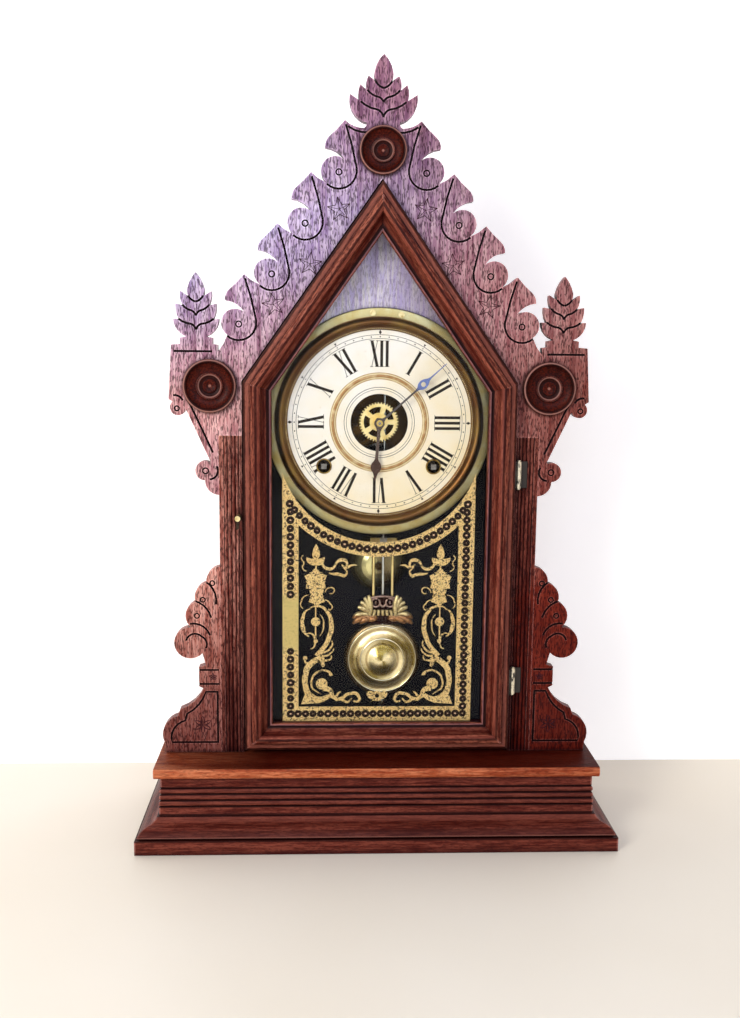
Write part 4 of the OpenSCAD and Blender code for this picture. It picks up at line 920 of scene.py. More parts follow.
class CLOCK_OT_stage(Step, bpy.types.Operator):
    """Set up the table, the wall, the daylight and the camera"""
    bl_idname = "clock.stage"
    bl_label = "Stage"

    def make(self, scene):
        stage = scene.clock_stage
        self.room(stage)
        self.daylight(scene)
        self.camera(scene, stage)

    def room(self, stage):
        material, tree, place = new_material("laminate table top")
        clouds = noise(tree, stretched(tree, place, 0.5, 0.5, 0.5), 3)
        colour = blended(tree, ranged(tree, clouds, 0.35, 0.7), stage.floor, linear("#f6efe2"))
        skinned(material, {"Base Color": colour, "Roughness": 0.55})
        flat_card("table_top", [(-3, -3, 0), (3, -3, 0), (3, 3, 0), (-3, 3, 0)], material)

        material, tree, place = new_material("painted wall")
        stipple = clouded(tree, place, 6, 3)
        paint = add(tree, "ShaderNodeBsdfPrincipled", {
            "Base Color": opaque(stage.wall), "Roughness": 0.8, "Emission Color": (1, 1, 1, 1),
            "Emission Strength": 0.42, "Normal": bumped(tree, stipple, 1 * MM, 0.12)}).outputs[0]
        # From behind, the wall is left out, so that the clock's back can be looked at
        behind = add(tree, "ShaderNodeNewGeometry").outputs["Backfacing"]
        clear = add(tree, "ShaderNodeBsdfTransparent").outputs[0]
        shown(tree, add(tree, "ShaderNodeMixShader", {0: behind, 1: paint, 2: clear}).outputs[0])
        y = CAD_BOX[1].y + stage.wall_gap
        flat_card("wall", [(-3, y, 0), (3, y, 0), (3, y, 3), (-3, y, 3)], material)

    def daylight(self, scene):
        world = bpy.data.worlds.new("bright room")
        world.use_nodes = True
        tree = world.node_tree
        tree.nodes.clear()
        seen = add(tree, "ShaderNodeLightPath").outputs
        plain_white = add(tree, "ShaderNodeBackground", {"Color": (1, 1, 1, 1), "Strength": 1.0}).outputs[0]
        soft = add(tree, "ShaderNodeBackground", {"Color": (0.9, 0.94, 1, 1), "Strength": 0.31}).outputs[0]
        direct = seen["Is Camera Ray"]
        for ray in ("Is Glossy Ray", "Is Transmission Ray"):
            direct = calculated(tree, "MAXIMUM", direct, seen[ray])
        mix = add(tree, "ShaderNodeMixShader", {0: direct, 1: soft, 2: plain_white}).outputs[0]
        add(tree, "ShaderNodeOutputWorld", {"Surface": mix})
        scene.world = world
        lamp("window", (-1.2, -1.5, 0.95), (0, 0, 0.3), (0.7, 1.0), 26, "#fcf9f3")
        lamp("sky", (0.2, -2.1, 1.3), (0, 0, 0.4), (1.6, 0.8), 14, "#d6deff")
        lamp("room", (1.3, -1.2, 0.6), (0, 0, 0.3), (0.8, 0.8), 2, "#ffe9d0")
        lamp("behind", (0.4, 1.8, 1.1), (0, 0, 0.3), (1.0, 1.0), 18, "#fff6ea")
        scene.view_settings.view_transform = "Standard"

    def camera(self, scene, stage):
        camera = bpy.data.cameras.new("camera")
        camera.lens = stage.lens
        camera.sensor_width = 36
        camera.sensor_fit = "AUTO"
        holder = linked("camera", camera)
        holder.matrix_world = (Matrix.Translation(stage.eye) @ Matrix.Rotation(-stage.right, 4, "Z")
                               @ Matrix.Rotation(math.pi / 2 - stage.down, 4, "X")
                               @ Matrix.Rotation(stage.roll, 4, "Z"))
        scene.camera = holder


# Woodwork

def joinery(wood, *parts):
    """Wooden nodes of the case with eased edges: each part gives a node, its material and its slot."""
    for node, material, slot in parts:
        # The crest's grooves run out at its edge, where eased edges would fold over each other
        ease = 0.0 if node == "crest_board" else wood.ease
        finish(eased(node, ease), material, "case", slot, node)


class CLOCK_OT_base(Step, bpy.types.Operator):
    """Build the stepped base with its mouldings and shelf"""
    bl_idname = "clock.base"
    bl_label = "Base"

    def make(self, scene):
        wood = scene.clock_wood
        across = walnut("walnut base moulding", wood, linear("#541e16"), linear("#7e3e30"), LEVEL, pore=0.35,
                        grime_and_shade=7 * MM, bands=BASE_SHADING)
        deep = walnut("walnut side moulding", wood, linear("#541e16"), linear("#7e3e30"), DEEP, pore=0.35,
                      grime_and_shade=7 * MM, bands=BASE_SHADING)
        # The shelf's bright tones also paint the light on its front edge
        shelf = walnut("walnut base shelf", wood, linear("#a24a2a"), linear("#d07c54"), LEVEL, shaded_top=True,
                       pore=0.3)
        rough = walnut("unpolished walnut", wood, wood.board, wood.board_light, LEVEL, edge_rub_and_highlight=0.0)
        joinery(wood,
                ("base_front_moulding", across, "walnut_moulding"),
                ("base_side_mouldings", deep, "walnut_moulding"),
                ("base_shelf", shelf, "walnut_board"),
                ("base_back_rail", rough, "case_wood"),
                ("glue_blocks", rough, "case_wood"))


class CLOCK_OT_case(Step, bpy.types.Operator):
    """Build the side, roof and back boards of the case"""
    bl_idname = "clock.case"
    bl_label = "Case"

    def make(self, scene):
        wood = scene.clock_wood
        board = walnut("walnut case board", wood, wood.moulding, wood.board, UPRIGHT, inside=True)
        cleat = walnut("stained cleat", wood, wood.inside, wood.inside, LEVEL, shine=0.05, edge_rub_and_highlight=0.0)
        # The gable panel's pale lilac is a painted reflection, and it also takes painted shade on its right
        veil = walnut("gable panel with painted reflection", wood, wood.panel, wood.panel_light, UPRIGHT, edge_rub_and_highlight=0.0, pore=0.3,
                      right_shade=True, shaded=True)
        joinery(wood,
                ("case_sides", board, "case_wood"),
                ("roof_boards", board, "case_wood"),
                ("back_board", board, "case_wood"),
                ("dial_cleats", cleat, "case_wood"),
                ("gable_panel", veil, "panel_wood"))


class CLOCK_OT_facade(Step, bpy.types.Operator):
    """Build the sawn and carved boards of the front"""
    bl_idname = "clock.facade"
    bl_label = "Facade"

    def make(self, scene):
        wood = scene.clock_wood
        # Crest and upper wings carry the painted sky sheen and the painted shade low on the right
        crest = walnut("walnut crest with painted sky sheen", wood, wood.board, wood.board_light, sky_sheen=True, right_shade=True,
                       pore=0.7, carved=True)
        wing = walnut("walnut wing", wood, wood.board, wood.board_light, right_shade=True, pore=0.7, carved=True)
        fluted = walnut("walnut pilaster", wood, linear("#74342a"), linear("#c48676"), right_shade=True, edge_rub_and_highlight=0.8,
                        pore=0.7, grime_and_shade=8 * MM)
        joinery(wood,
                ("crest_board", crest, "walnut_board"),
                ("upper_wing_left", crest, "walnut_board"),
                ("upper_wing_right", crest, "walnut_board"),
                ("lower_wing_left", wing, "walnut_board"),
                ("lower_wing_right", wing, "walnut_board"),
                ("pilaster_left", fluted, "walnut_moulding"),
                ("pilaster_right", fluted, "walnut_moulding"))
        self.stars(wood)

    def stars(self, wood):
        """Chip-carved stars between the scrolls and the door, and a flower on each lower wing, drawn as dark
        strips on the board that paint the shade and grime of the cuts.
        """
        cut = matt("chip-carved line with painted shade", wood.pore, linear("#3c1420"), 0.7)
        build = bmesh.new()
        front = CASE_FRONT - 0.05 * MM
        lines = []
        for x, z, tilt in STARS:
            hub = (x * MM, z * MM)
            tips = [arc((STAR_NOTCH if k % 2 else STAR_TIP) * MM, 36 * k + tilt, 36 * k + tilt, 1, hub)[0]
                    for k in range(10)]
            lines += [([a, b], STAR_EDGE) for a, b in zip(tips, tips[1:] + tips[:1])]
            lines += [([Vector(hub), tip], STAR_RAY) for tip in tips[::2]]
        for x, z, petal, count in FLOWERS:
            hub = Vector((x * MM, z * MM))
            for k in range(count):
                tip = arc(petal * MM, 360 * k / count, 360 * k / count, 1, hub)[0]
                for bow in (-0.18, 0.18):
                    lines.append((swept([[*hub, bow * petal * MM], [*tip]], turn=20), PETAL_LINE))
        for i, (line, width) in enumerate(lines):
            outline = stroke(line, [0.3 * width * MM, width * MM, 0.3 * width * MM])
            for points in (outline, flipped(outline)):
                # Lines cross, so that each lies a hair over the one before
                prism(build, points, front - i * CUT_STEP, CASE_FRONT)
        finish(piece_from(build, "chip_carving"), cut, "case", "walnut_board")


class CLOCK_OT_rosettes(Step, bpy.types.Operator):
    """Turn the three rosettes"""
    bl_idname = "clock.rosettes"
    bl_label = "Rosettes"

    def make(self, scene):
        wood = scene.clock_wood
        for node in ("rosette_left", "rosette_right", "rosette_top"):
            low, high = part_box(node)
            dark = walnut("turned walnut " + node.replace("_", " "), wood, wood.rosette, wood.rosette_light,
                          DEEP, shine=0.08, edge_rub_and_highlight=0.55, pore=0.3, bands=ROSETTE_SHADING,
                          across=from_centre((low + high) / 2, ROSETTE_RADIUS / (high.x - low.x) * 2))
            finish(smooth(eased(node, 0.15 * MM), 40), dark, "case", "rosette_wood", node)


class CLOCK_OT_door(Step, bpy.types.Operator):
    """Build the pointed door frame with its glass and glass beads"""
    bl_idname = "clock.door"
    bl_label = "Door"

    def make(self, scene):
        wood = scene.clock_wood
        for node, grain, across in (("door_stile_left", UPRIGHT, from_side),
                                    ("door_stile_right", UPRIGHT, from_side),
                                    ("door_rail", LEVEL, from_foot),
                                    ("door_rafter_left", RAFTER_LEFT, from_roof),
                                    ("door_rafter_right", RAFTER_RIGHT, from_roof)):
            moulded = walnut("walnut " + node.replace("_", " "), wood, wood.moulding, wood.moulding_light,
                             grain, edge_rub_and_highlight=0.85, pore=0.55, grime_and_shade=9 * MM, bands=DOOR_SHADING, across=across)
            finish(eased(node, wood.ease), moulded, "door", "walnut_moulding", node)
        bead = walnut("stained glass bead", wood, wood.inside, wood.moulding, UPRIGHT, shine=0.05, edge_rub_and_highlight=0.3)
        finish(eased("glass_beads", wood.ease), bead, "door", "walnut_moulding", "glass_beads")
        dress(window_glass(), "door_glass")


class CLOCK_OT_iron(Step, bpy.types.Operator):
    """Finish the hinges, the hook and the screws"""
    bl_idname = "clock.iron"
    bl_label = "Ironmongery"

    def make(self, scene):
        brass = scene.clock_brass
        hinge = self.hinge_metal(brass)
        iron = metal("dark iron", brass.iron, linear("#4a3a30"), 0.5)
        dress(hinge, "case_hinge_leaves", "door_hinge_leaves", "hinge_pins")
        dress(iron, "door_hook")
        dress(metal("screw brass", linear("#efe0ac"), brass.worn, 0.3), "case_screws")

    def hinge_metal(self, brass):
        """Iron hinges whose knuckle is rubbed bright and carries a painted highlight, and whose leaves are
        painted dark with the wood.
        """
        material, tree, place = new_material("worn hinge iron")
        parts = parted(tree, place)
        pin = middle("hinge_pins").x
        out = apart(tree, parts[0], pin)
        clouds = noise(tree, stretched(tree, place, 5 * MM, 2 * MM, 2 * MM), 3)
        # Painted highlight and rubbed metal in a strip along the knuckle
        bright = times(tree, ranged(tree, out, 2.6 * MM, 1.8 * MM), ranged(tree, clouds, 0.35, 0.5))
        colour = blended(tree, bright, brass.iron, linear("#e6dcc4"))
        return skinned(material, {"Base Color": colour, "Metallic": bright, "Roughness": 0.35,
                                  "Specular IOR Level": 0.3})


# Stencilled tablet behind the door glass

def leaf(at, size, clockwise):
    """Outline of a lobed vine leaf that grows from at."""
    half = [[0.12, 0], [0.4, -0.12], [0.72, 0.12], [0.52, 0.28], [0.88, 0.6], [0.46, 0.62], [0.42, 0.84],
            [0, 1.25]]
    knots = half + [[-x, y] for x, y in reversed(half[:-1])]
    return spun([Vector((at[0] + x * size, at[1] + y * size)) for x, y in knots], clockwise, at)


def scrollwork():
    """Outlines of the left half of the stencil, in metres in the plane of the glass."""
    shapes = []

    def brush(knots, widths, turn=14):
        shapes.append(stroke(swept(mm(knots), turn=turn), [w * MM for w in widths]))

    def blot(x, z, radius):
        shapes.append(circle(radius * MM, (x * MM, z * MM), 20))

    # Three-leaved finial with its stem
    shapes.append(swept(mm([[-49.8, 238.2, 0.5], [-46.8, 230.6, 0.6], [-48.4, 226.4, -0.4],
                            [-43.2, 227.6, 0.9], [-44.4, 222.4, 0.5], [-48.4, 220.8], [-51.2, 220.8, 0.5],
                            [-55.6, 222.4, 0.9], [-57.4, 227.4, -0.4], [-51.4, 226.4, 0.6],
                            [-52.8, 230.6, 0.5]]), closed=True))
    brush([[-49.8, 222], [-50, 206]], [1.2, 1.0])
    brush([[-50, 190], [-50, 158.5]], [0.9, 1.1, 1.2])
    # Fluttering ribbon
    brush([[-45, 222.5, -1.2], [-39.2, 217.8, -1.0], [-34.4, 221.4, 1.2], [-28.4, 225.4, 1.6],
           [-25.4, 220.4]], [1.6, 2.6, 1.4, 3.0, 1.4])
    brush([[-29.4, 221.6, -1.2], [-23.6, 219.8, 0.9], [-17, 220.8]], [0.8, 2.4, 1.6, 0.5])
    brush([[-39.6, 214.6, -0.5], [-33.4, 214, 0.3], [-26.6, 211.8]], [0.9, 2.6, 2.2])
    brush([[-26.8, 212.4, -0.6], [-25.2, 216.4, 0.4], [-28.6, 220.8]], [2.0, 1.2, 1.0])
    # Tendrils beside the leaves
    brush([[-60, 229, -1.3], [-60.4, 224.6, 1.0], [-60.6, 220.4, -1.2], [-57.4, 216.2]], [0.6, 0.9, 0.9, 0.6])
    brush([[-42.6, 198.4, 1.4], [-37.6, 202.8, 1.6], [-36, 198.6, 0.7], [-38.8, 198.2]], [0.6, 0.9, 0.9, 0.6])
    brush([[-43, 192.6, 0.9], [-38.4, 189.2, 1.2], [-37.6, 184.8, 0.8], [-39.6, 185.4]], [0.6, 1.0, 0.9, 0.6])
    brush([[-55.6, 196.6, -1.6], [-61.6, 191, -1.2], [-60.2, 185.6]], [0.6, 1.1, 0.6])
    # Two clusters of vine leaves
    for x, z, size, clockwise in ((-50, 211.6, 6.0, 0), (-51.5, 209.5, 6.4, -70), (-48.5, 209.5, 6.4, 68),
                                  (-52.5, 206.2, 5.4, -128), (-47.5, 206.2, 5.4, 126), (-50, 205.6, 5.6, 180),
                                  (-50, 198, 4.6, -62), (-48.4, 198, 4.6, 58), (-50.6, 193.6, 4.6, -118),
                                  (-47.8, 193.6, 4.6, 116), (-49.4, 192.4, 4.4, 180)):
        shapes.append(leaf((x * MM, z * MM), size * MM, clockwise))
    blot(-50, 209, 3.4)
    blot(-49.6, 195.4, 2.6)
    # Ring scroll that winds round the stem
    brush([[-55.2, 184.4, 1.2], [-49.6, 187.2, 1.6], [-41.4, 183.4, 1.2], [-37.6, 174, 1.0],
           [-39, 162.6, 0.7], [-44, 152.4], [-49, 146]], [0.6, 1.6, 2.8, 3.8, 3.8, 3.4, 4.6])
    brush([[-55, 185.2, -1.4], [-60, 178.4, -0.9], [-60.2, 169.6, -1.1], [-55.4, 162.4]],
          [0.6, 2.6, 3.4, 0.8])
    blot(-50, 174.6, 3.7)
    brush([[-46.6, 180.6, 1.2], [-43.6, 172, 1.0], [-46.8, 162.6]], [0.4, 1.3, 0.4])
    blot(-50, 158.6, 1.7)
    brush([[-57.4, 164.4, 1.4], [-51.6, 163, 0.9], [-50.8, 155.6, 1.0], [-54, 152.2]], [0.5, 1.5, 1.5, 0.7])
    # Fingers and the leafy knee below the ring
    brush([[-45.4, 149, -1.4], [-37.6, 153.4, -0.9], [-37, 158.8]], [1.6, 1.6, 0.8])
    brush([[-45, 146.4, -1.0], [-38.4, 148, -0.7], [-35.4, 152.4]], [1.6, 1.4, 0.7])
    brush([[-46, 143.6, -0.8], [-40.4, 142.6, -1.4], [-37.4, 146.4]], [2.2, 1.5, 0.8])
    brush([[-43.2, 137.4, 0.8], [-44.6, 143.4, 0.6], [-49.2, 145.6]], [2.2, 4.4, 3.0])
    blot(-58.4, 144.4, 1.8)
    brush([[-58.8, 142.9, -0.8], [-56, 139.6], [-52.6, 139.8]], [0.9, 2.2, 3.6])
    # Corner scroll with its ball, foot and curled leaves
    brush([[-46.6, 143.8, -0.8], [-53.6, 139.6, -1.2], [-57.8, 131.4, -0.9], [-58, 120.6, -1.1],
           [-53.2, 111.8, -0.7], [-46.2, 109.4, -0.7], [-38.6, 113.4]], [4.4, 4.8, 4.6, 4.2, 5.4, 5.0, 3.2])
    brush([[-37.2, 129.6, 1.2], [-40.6, 133.4, 0.9], [-47.2, 133.2, 0.9], [-52.8, 127, 1.1],
           [-52.2, 118.4, 1.0], [-45.4, 113.8]][::-1], [0.5, 1.3, 1.6, 1.6, 1.5, 2.2])
    blot(-38, 130.8, 1.3)
    blot(-45, 122.8, 4.7)
    brush([[-44, 118.8, 0.5], [-38.4, 117.6, 0.5], [-36.4, 112.2]], [4.6, 3.8, 2.4])
    shapes.append(mm([[-61.6, 105.6], [-58.8, 113.6], [-53.2, 112.2], [-46, 106.6]]))
    brush([[-38.8, 113, 0.6], [-32.8, 109.6, -0.5], [-27, 111.6, 0.9], [-20.8, 114.6, 1.5], [-15, 112, 1.2],
           [-15.8, 107.8, 0.6], [-19, 108.6]], [3.4, 3.0, 2.6, 2.4, 2.6, 2.2, 1.2])
    brush([[-33, 112.4, 0.5], [-29.6, 116.2]], [2.2, 0.9])
    brush([[-28.6, 109.8, -0.5], [-24, 107.2, -0.4], [-20.6, 110.6]], [2.4, 1.8, 1.0])
    return shapes


class CLOCK_OT_tablet(Step, bpy.types.Operator):
    """Paint the gilded stencil on the back of the door glass"""
    bl_idname = "clock.tablet"
    bl_label = "Tablet"

    def make(self, scene):
        tablet = scene.clock_tablet
        gold = bronze_powder(tablet)
        dark = matt("painted outline", tablet.outline, linear("#2a1a12"), 0.6)
        self.border(tablet, gold)
        self.beads(tablet, dark)
        self.scrolls(tablet, gold)

    def paint(self, piece, material):
        finish(piece, material, "door", "polished_brass")

    def border(self, tablet, gold):
        x_out, x_in = tablet.half_width, tablet.half_width - tablet.band
        z_out, z_in = tablet.foot, tablet.foot + tablet.foot_band
        hub = (DIAL.x, DIAL.z - tablet.arc_drop)

        def under_dial(radius, x):
            swing = math.degrees(math.asin(x / radius))
            return arc(radius, 180 + swing, 180 - swing, 60, hub)

        outline = [Vector((x_out, z_out)), Vector((-x_out, z_out))] + under_dial(tablet.arc_inner, x_out)
        window = [Vector((x_in, z_in)), Vector((-x_in, z_in))] + under_dial(tablet.arc_outer, x_in)
        border = cut_sheet("stencil_border", [outline, window], GLASS_BACK, GLASS_BACK + 2 * tablet.coat)
        self.paint(border, gold)

    def beads(self, tablet, dark):
        face = GLASS_BACK
        x = tablet.half_width - tablet.band * 0.5
        z = tablet.foot + tablet.foot_band * 0.5
        middle_radius = (tablet.arc_inner + tablet.arc_outer) / 2
        # A worn patch of the left band has lost its outlines
        uprights = [[Vector((-x, face, z)), Vector((-x, face, WORN_FOOT * MM))],
                    [Vector((-x, face, WORN_TOP * MM)), Vector((-x, face, BAND_TOP * MM))],
                    [Vector((x, face, z)), Vector((x, face, BAND_TOP * MM))]]
        foot = [[Vector((6 * MM - x, face, z)), Vector((x - 6 * MM, face, z))]]
        swing = math.degrees(math.asin((x + 0.5 * MM) / middle_radius))
        hub = (DIAL.x, DIAL.z - tablet.arc_drop)
        under = [at_depth(arc(middle_radius, 180 + swing, 180 - swing, 60, hub), face)]
        r, thin = tablet.bead, tablet.coat
        core = matt("pale bead core", linear("#f0c8a0"), linear("#a8784c"), 0.5, 0.8)
        for name, lines, spacing in (("upright", uprights, 6.15), ("foot", foot, 6.0), ("arc", under, 6.1)):
            outlines = beaded(f"stencil_{name}_outlines", lines, spacing * MM, (r, thin, r), dark, 0.12)
            self.paint(outlines, dark)
            cores = beaded(f"stencil_{name}_cores", lines, spacing * MM, (r * 0.33, 2 * thin, r * 0.26),
                           core, 0.5)
            self.paint(cores, core)

    def scrolls(self, tablet, gold):
        build = bmesh.new()
        for side in (1, -1):
            for i, outline in enumerate(scrollwork()):
                points = outline if side == 1 else flipped(outline)
                # Each stroke of size lies a hair over the one before
                lift = i * tablet.coat * 0.01
                prism(build, points, GLASS_BACK + lift, GLASS_BACK + 2 * tablet.coat + lift)
        self.paint(piece_from(build, "stencil_scrolls"), gold)
        rosette = [circle(4.3 * MM, (0, 112.4 * MM), 32), circle(1.7 * MM, (0, 112.6 * MM), 20)]
        knot = cut_sheet("stencil_knot", rosette, GLASS_BACK, GLASS_BACK + 2 * tablet.coat)
        self.paint(knot, gold)
        build = bmesh.new()
        for side in (1, -1):
            for knots in ([[2.4, 115.4, 0.8], [7.6, 116.2, 0.6], [8, 112.6, 0.8], [3.6, 109.8]],
                          [[1.4, 108.6, 0.5], [5.2, 107.2, 0.6], [3.4, 110.6]]):
                points = swept(mm(knots), closed=True)
                prism(build, points if side == 1 else flipped(points), GLASS_BACK, GLASS_BACK + 2
                      * tablet.coat)
        self.paint(piece_from(build, "stencil_petals"), gold)


# Dial

def numeral_strokes(text, dial):
    """Thick and thin strokes of a Roman numeral: x runs across and y from its feet to its top."""
    tall = dial.numeral_top - dial.numeral_foot
    wide = {"I": 4.3 * MM, "V": 6.9 * MM, "X": 6.9 * MM}
    lean = 2.2 * MM
    wide_serif, narrow_serif = 2 * MM, 1.2 * MM
    x = -sum(wide[letter] for letter in text) / 2
    strokes = []

    def line(foot, top, width):
        strokes.append(stroke([Vector((foot, 0)), Vector((top, tall))], [width, width]))

    def serif(y, centre, half):
        ends = [Vector((centre - half, y)), Vector((centre + half, y))]
        strokes.append(stroke(ends, [dial.thin, dial.thin]))

    for letter in text:
        mid = x + wide[letter] / 2
        if letter == "I":
            line(mid, mid, dial.thick)
            for y in (0, tall):
                serif(y, mid, wide_serif)
        elif letter == "V":
            line(mid, mid - lean, dial.thick)
            line(mid + 0.6 * MM, mid + lean, dial.thin)
            serif(tall, mid - lean, wide_serif)
            serif(tall, mid + lean, narrow_serif)
        else:
            line(mid + lean, mid - lean, dial.thick)
            line(mid - lean, mid + lean, dial.thin)
            for y, swing in ((0, 1), (tall, -1)):
                serif(y, mid + swing * lean, wide_serif)
                serif(y, mid - swing * lean, narrow_serif)
        x += wide[letter]
    return strokes


class CLOCK_OT_dial(Step, bpy.types.Operator):
    """Glue the dial paper to its pan and print it"""
    bl_idname = "clock.dial"
    bl_label = "Dial"

    def make(self, scene):
        dial = scene.clock_dial
        brass = scene.clock_brass
        dress(metal("zinc dial pan", linear("#8f8f8c"), linear("#6d6a64"), 0.4), "dial_pan")
        self.paper(dial)
        self.print(dial)
        self.rings(dial, brass)

    def winding_holes(self):
        low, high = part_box("time_winding_arbor")
        x, z = (low.x + high.x) / 2, (low.z + high.z) / 2
        return [(x, z), (-x, z)]

    def paper(self, dial):
        lines = [circle(dial.paper_radius, DIAL_HUB, 180), circle(dial.hole_radius, DIAL_HUB, 96)]
        lines += [circle(WINDING_HOLE * MM, hole, 32) for hole in self.winding_holes()]
        sheet = cut_sheet("dial_paper", lines, DIAL_FACE - PAPER * MM, DIAL_FACE)
        finish(sheet, dial_paper(dial), "case", "dial_paper")

    def print(self, dial):
        ink = matt("printing ink", dial.ink, linear("#3a2f26"), 0.55, 3.0)
        face = DIAL_FACE - PAPER * MM
        front = face - dial.ink_height
        hub = DIAL_HUB
        build = bmesh.new()
        texts = ("XII", "I", "II", "III", "IIII", "V", "VI", "VII", "VIII", "IX", "X", "XI")
        for hour, text in enumerate(texts):
            for i, outline in enumerate(numeral_strokes(text, dial)):
                upright = moved(outline, (hub[0], hub[1] + dial.numeral_foot))
                # Hairlines cross thick strokes, so that each lies a hair over the one before
                prism(build, spun(upright, 30 * hour, hub), front - i * PRINT_STEP, face)
        for hour in range(12):
            top = hub[1] + dial.track
            if hour % 3 == 0:
                mark = mm([[0, 1.6], [1.2, 3.5], [0, 5.4], [-1.2, 3.5]])
            else:
                mark = mm([[0, 1.6], [1.0, 3.6], [-1.0, 3.6]])
            prism(build, spun(moved(mark, (hub[0], top)), 30 * hour, hub), front, face)
        finish(piece_from(build, "dial_numerals"), ink, "case", "dial_paper")
        lines = bmesh.new()
        for radius, width in ((dial.track - 1.5 * MM, 0.36 * MM), (dial.track + 1.5 * MM, 0.36 * MM),
                              (26.2 * MM, 0.3 * MM), (28 * MM, 0.4 * MM)):
            hoop(lines, radius, width, front, face, hub, 180)
        finish(piece_from(lines, "dial_circles"), ink, "case", "dial_paper")
        track = at_depth(circle(dial.track, hub, 360), face)
        step = math.tau * dial.track / 60
        size = (0.55 * MM, dial.ink_height, 0.55 * MM)
        dots = beaded("dial_minute_dots", [track], step, size, ink, 0.2, closed=True)
        finish(dots, ink, "case", "dial_paper")

    def ring_paint(self):
        """The pressed ring: cream like the paper, with worn brass along its raised lines."""
        material, tree, place = new_material("pressed ring under the numerals")
        depth = parted(tree, place)[1]
        rise = minus(tree, DIAL_FACE, depth)
        clouds = clouded(tree, place, 6, 3)
        raised = times(tree, ranged(tree, rise, 0.22 * MM, 0.4 * MM),
                       ranged(tree, clouds, 0.3, 0.55, 0.45, 1.0))
        colour = blended(tree, raised, linear("#e8d8ac"), linear("#a87c48"))
        return skinned(material, {"Base Color": colour, "Metallic": 0.3, "Roughness": 0.42})

    def rings(self, dial, brass):
        pressed = self.ring_paint()
        r = dial.ring_radius / MM
        face = PAPER
        profile = [(r - 2.7, face - 0.1), (r - 2.7, face + 0.1), (r - 2.3, face + 0.35),
                   (r - 1.9, face + 0.05), (r - 1.1, face + 0.15), (r - 0.7, face + 0.7),
                   (r - 0.3, face + 0.85), (r + 0.3, face + 0.85), (r + 0.7, face + 0.7),
                   (r + 1.1, face + 0.15), (r + 1.9, face + 0.05), (r + 2.3, face + 0.35),
                   (r + 2.7, face + 0.1), (r + 2.7, face - 0.1)]
        ring = turned("dial_pressed_ring", mm(profile), DIAL_CENTRE, closed=True, steps=180)
        finish(smooth(ring), pressed, "case", "polished_brass", "dial_grommets")
        profile = [(5.0, -0.6), (5.0, 0.9), (5.3, 1.2), (5.7, 1.2), (6.1, 0.8), (6.2, 0.3), (6.2, 0.1),
                   (5.4, 0.1), (5.4, -0.6)]
        for i, (x, z) in enumerate(self.winding_holes()):
            lined = metal(f"grommet brass {i + 1}", brass.worn, brass.bronze, 0.3)
            grommet = turned(f"dial_grommet_{i + 1}", mm(profile), (x, DIAL_FACE, z), closed=True, steps=64)
            finish(smooth(grommet, 40), lined, "case", "polished_brass")


class CLOCK_OT_bezel(Step, bpy.types.Operator):
    """Spin the bezel with its flange and milled edges"""
    bl_idname = "clock.bezel"
    bl_label = "Bezel"

    def make(self, scene):
        brass = scene.clock_brass
        dome = metal("dark lacquered bezel", brass.bronze, linear("#7c6234"), 0.28, spin=DIAL, spacing=1.7,
                     grain=24)
        flange = metal("greened brass flange", linear("#bcb488"), linear("#b49a52"), 0.4, spin=DIAL, grain=14)
        low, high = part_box("dial_bezel")
        outer, rise = high.x - DIAL.x, DIAL_FACE - low.y
        hub = DIAL_CENTRE
        inner, foot = 73.0 * MM, 83.5 * MM
        profile = [(inner, 0), (inner, 0.9 * MM), (inner + 1.5 * MM, 1.9 * MM), (inner + 2.0 * MM, 1.9 * MM)]
        for i in range(13):
            share = i / 12
            angle = math.radians(14 + 150 * share)
            profile.append((inner + (2.2 + 7.2 * share) * MM, 1.9 * MM + (rise - 1.9 * MM) * math.sin(angle)))
        profile += [(foot - 0.9 * MM, 2.0 * MM), (foot, 1.7 * MM), (foot, 0)]
        bezel = turned("bezel_dome", profile, hub, closed=True, steps=240)
        finish(smooth(bezel), dome, "case", "polished_brass", "dial_bezel")
        edge = [(foot - 0.5 * MM, 0), (foot - 0.5 * MM, 0.6 * MM), (outer - 0.8 * MM, 0.6 * MM),
                (outer - 0.25 * MM, 0.45 * MM), (outer, 0.2 * MM), (outer, 0)]
        finish(smooth(turned("bezel_flange", edge, hub, closed=True, steps=240)), flange, "case",
               "polished_brass")
        # The milled beads are rubbed brass with a painted glint that keeps them bright
        bright = matt("rubbed milling", linear("#f6e6b4"), linear("#8a6a34"), 0.35, 2.5)
        for name, radius, lift in (("inner", inner + 1.1 * MM, 1.75 * MM),
                                   ("outer", foot - 0.1 * MM, 1.8 * MM)):
            line = at_depth(circle(radius, DIAL_HUB, 360), DIAL_FACE - lift)
            bead = brass.milling_bead
            milled = beaded(f"bezel_milling_{name}", [line], brass.milling, (bead, bead, bead), bright,
                            closed=True)
            finish(milled, bright, "case", "polished_brass")


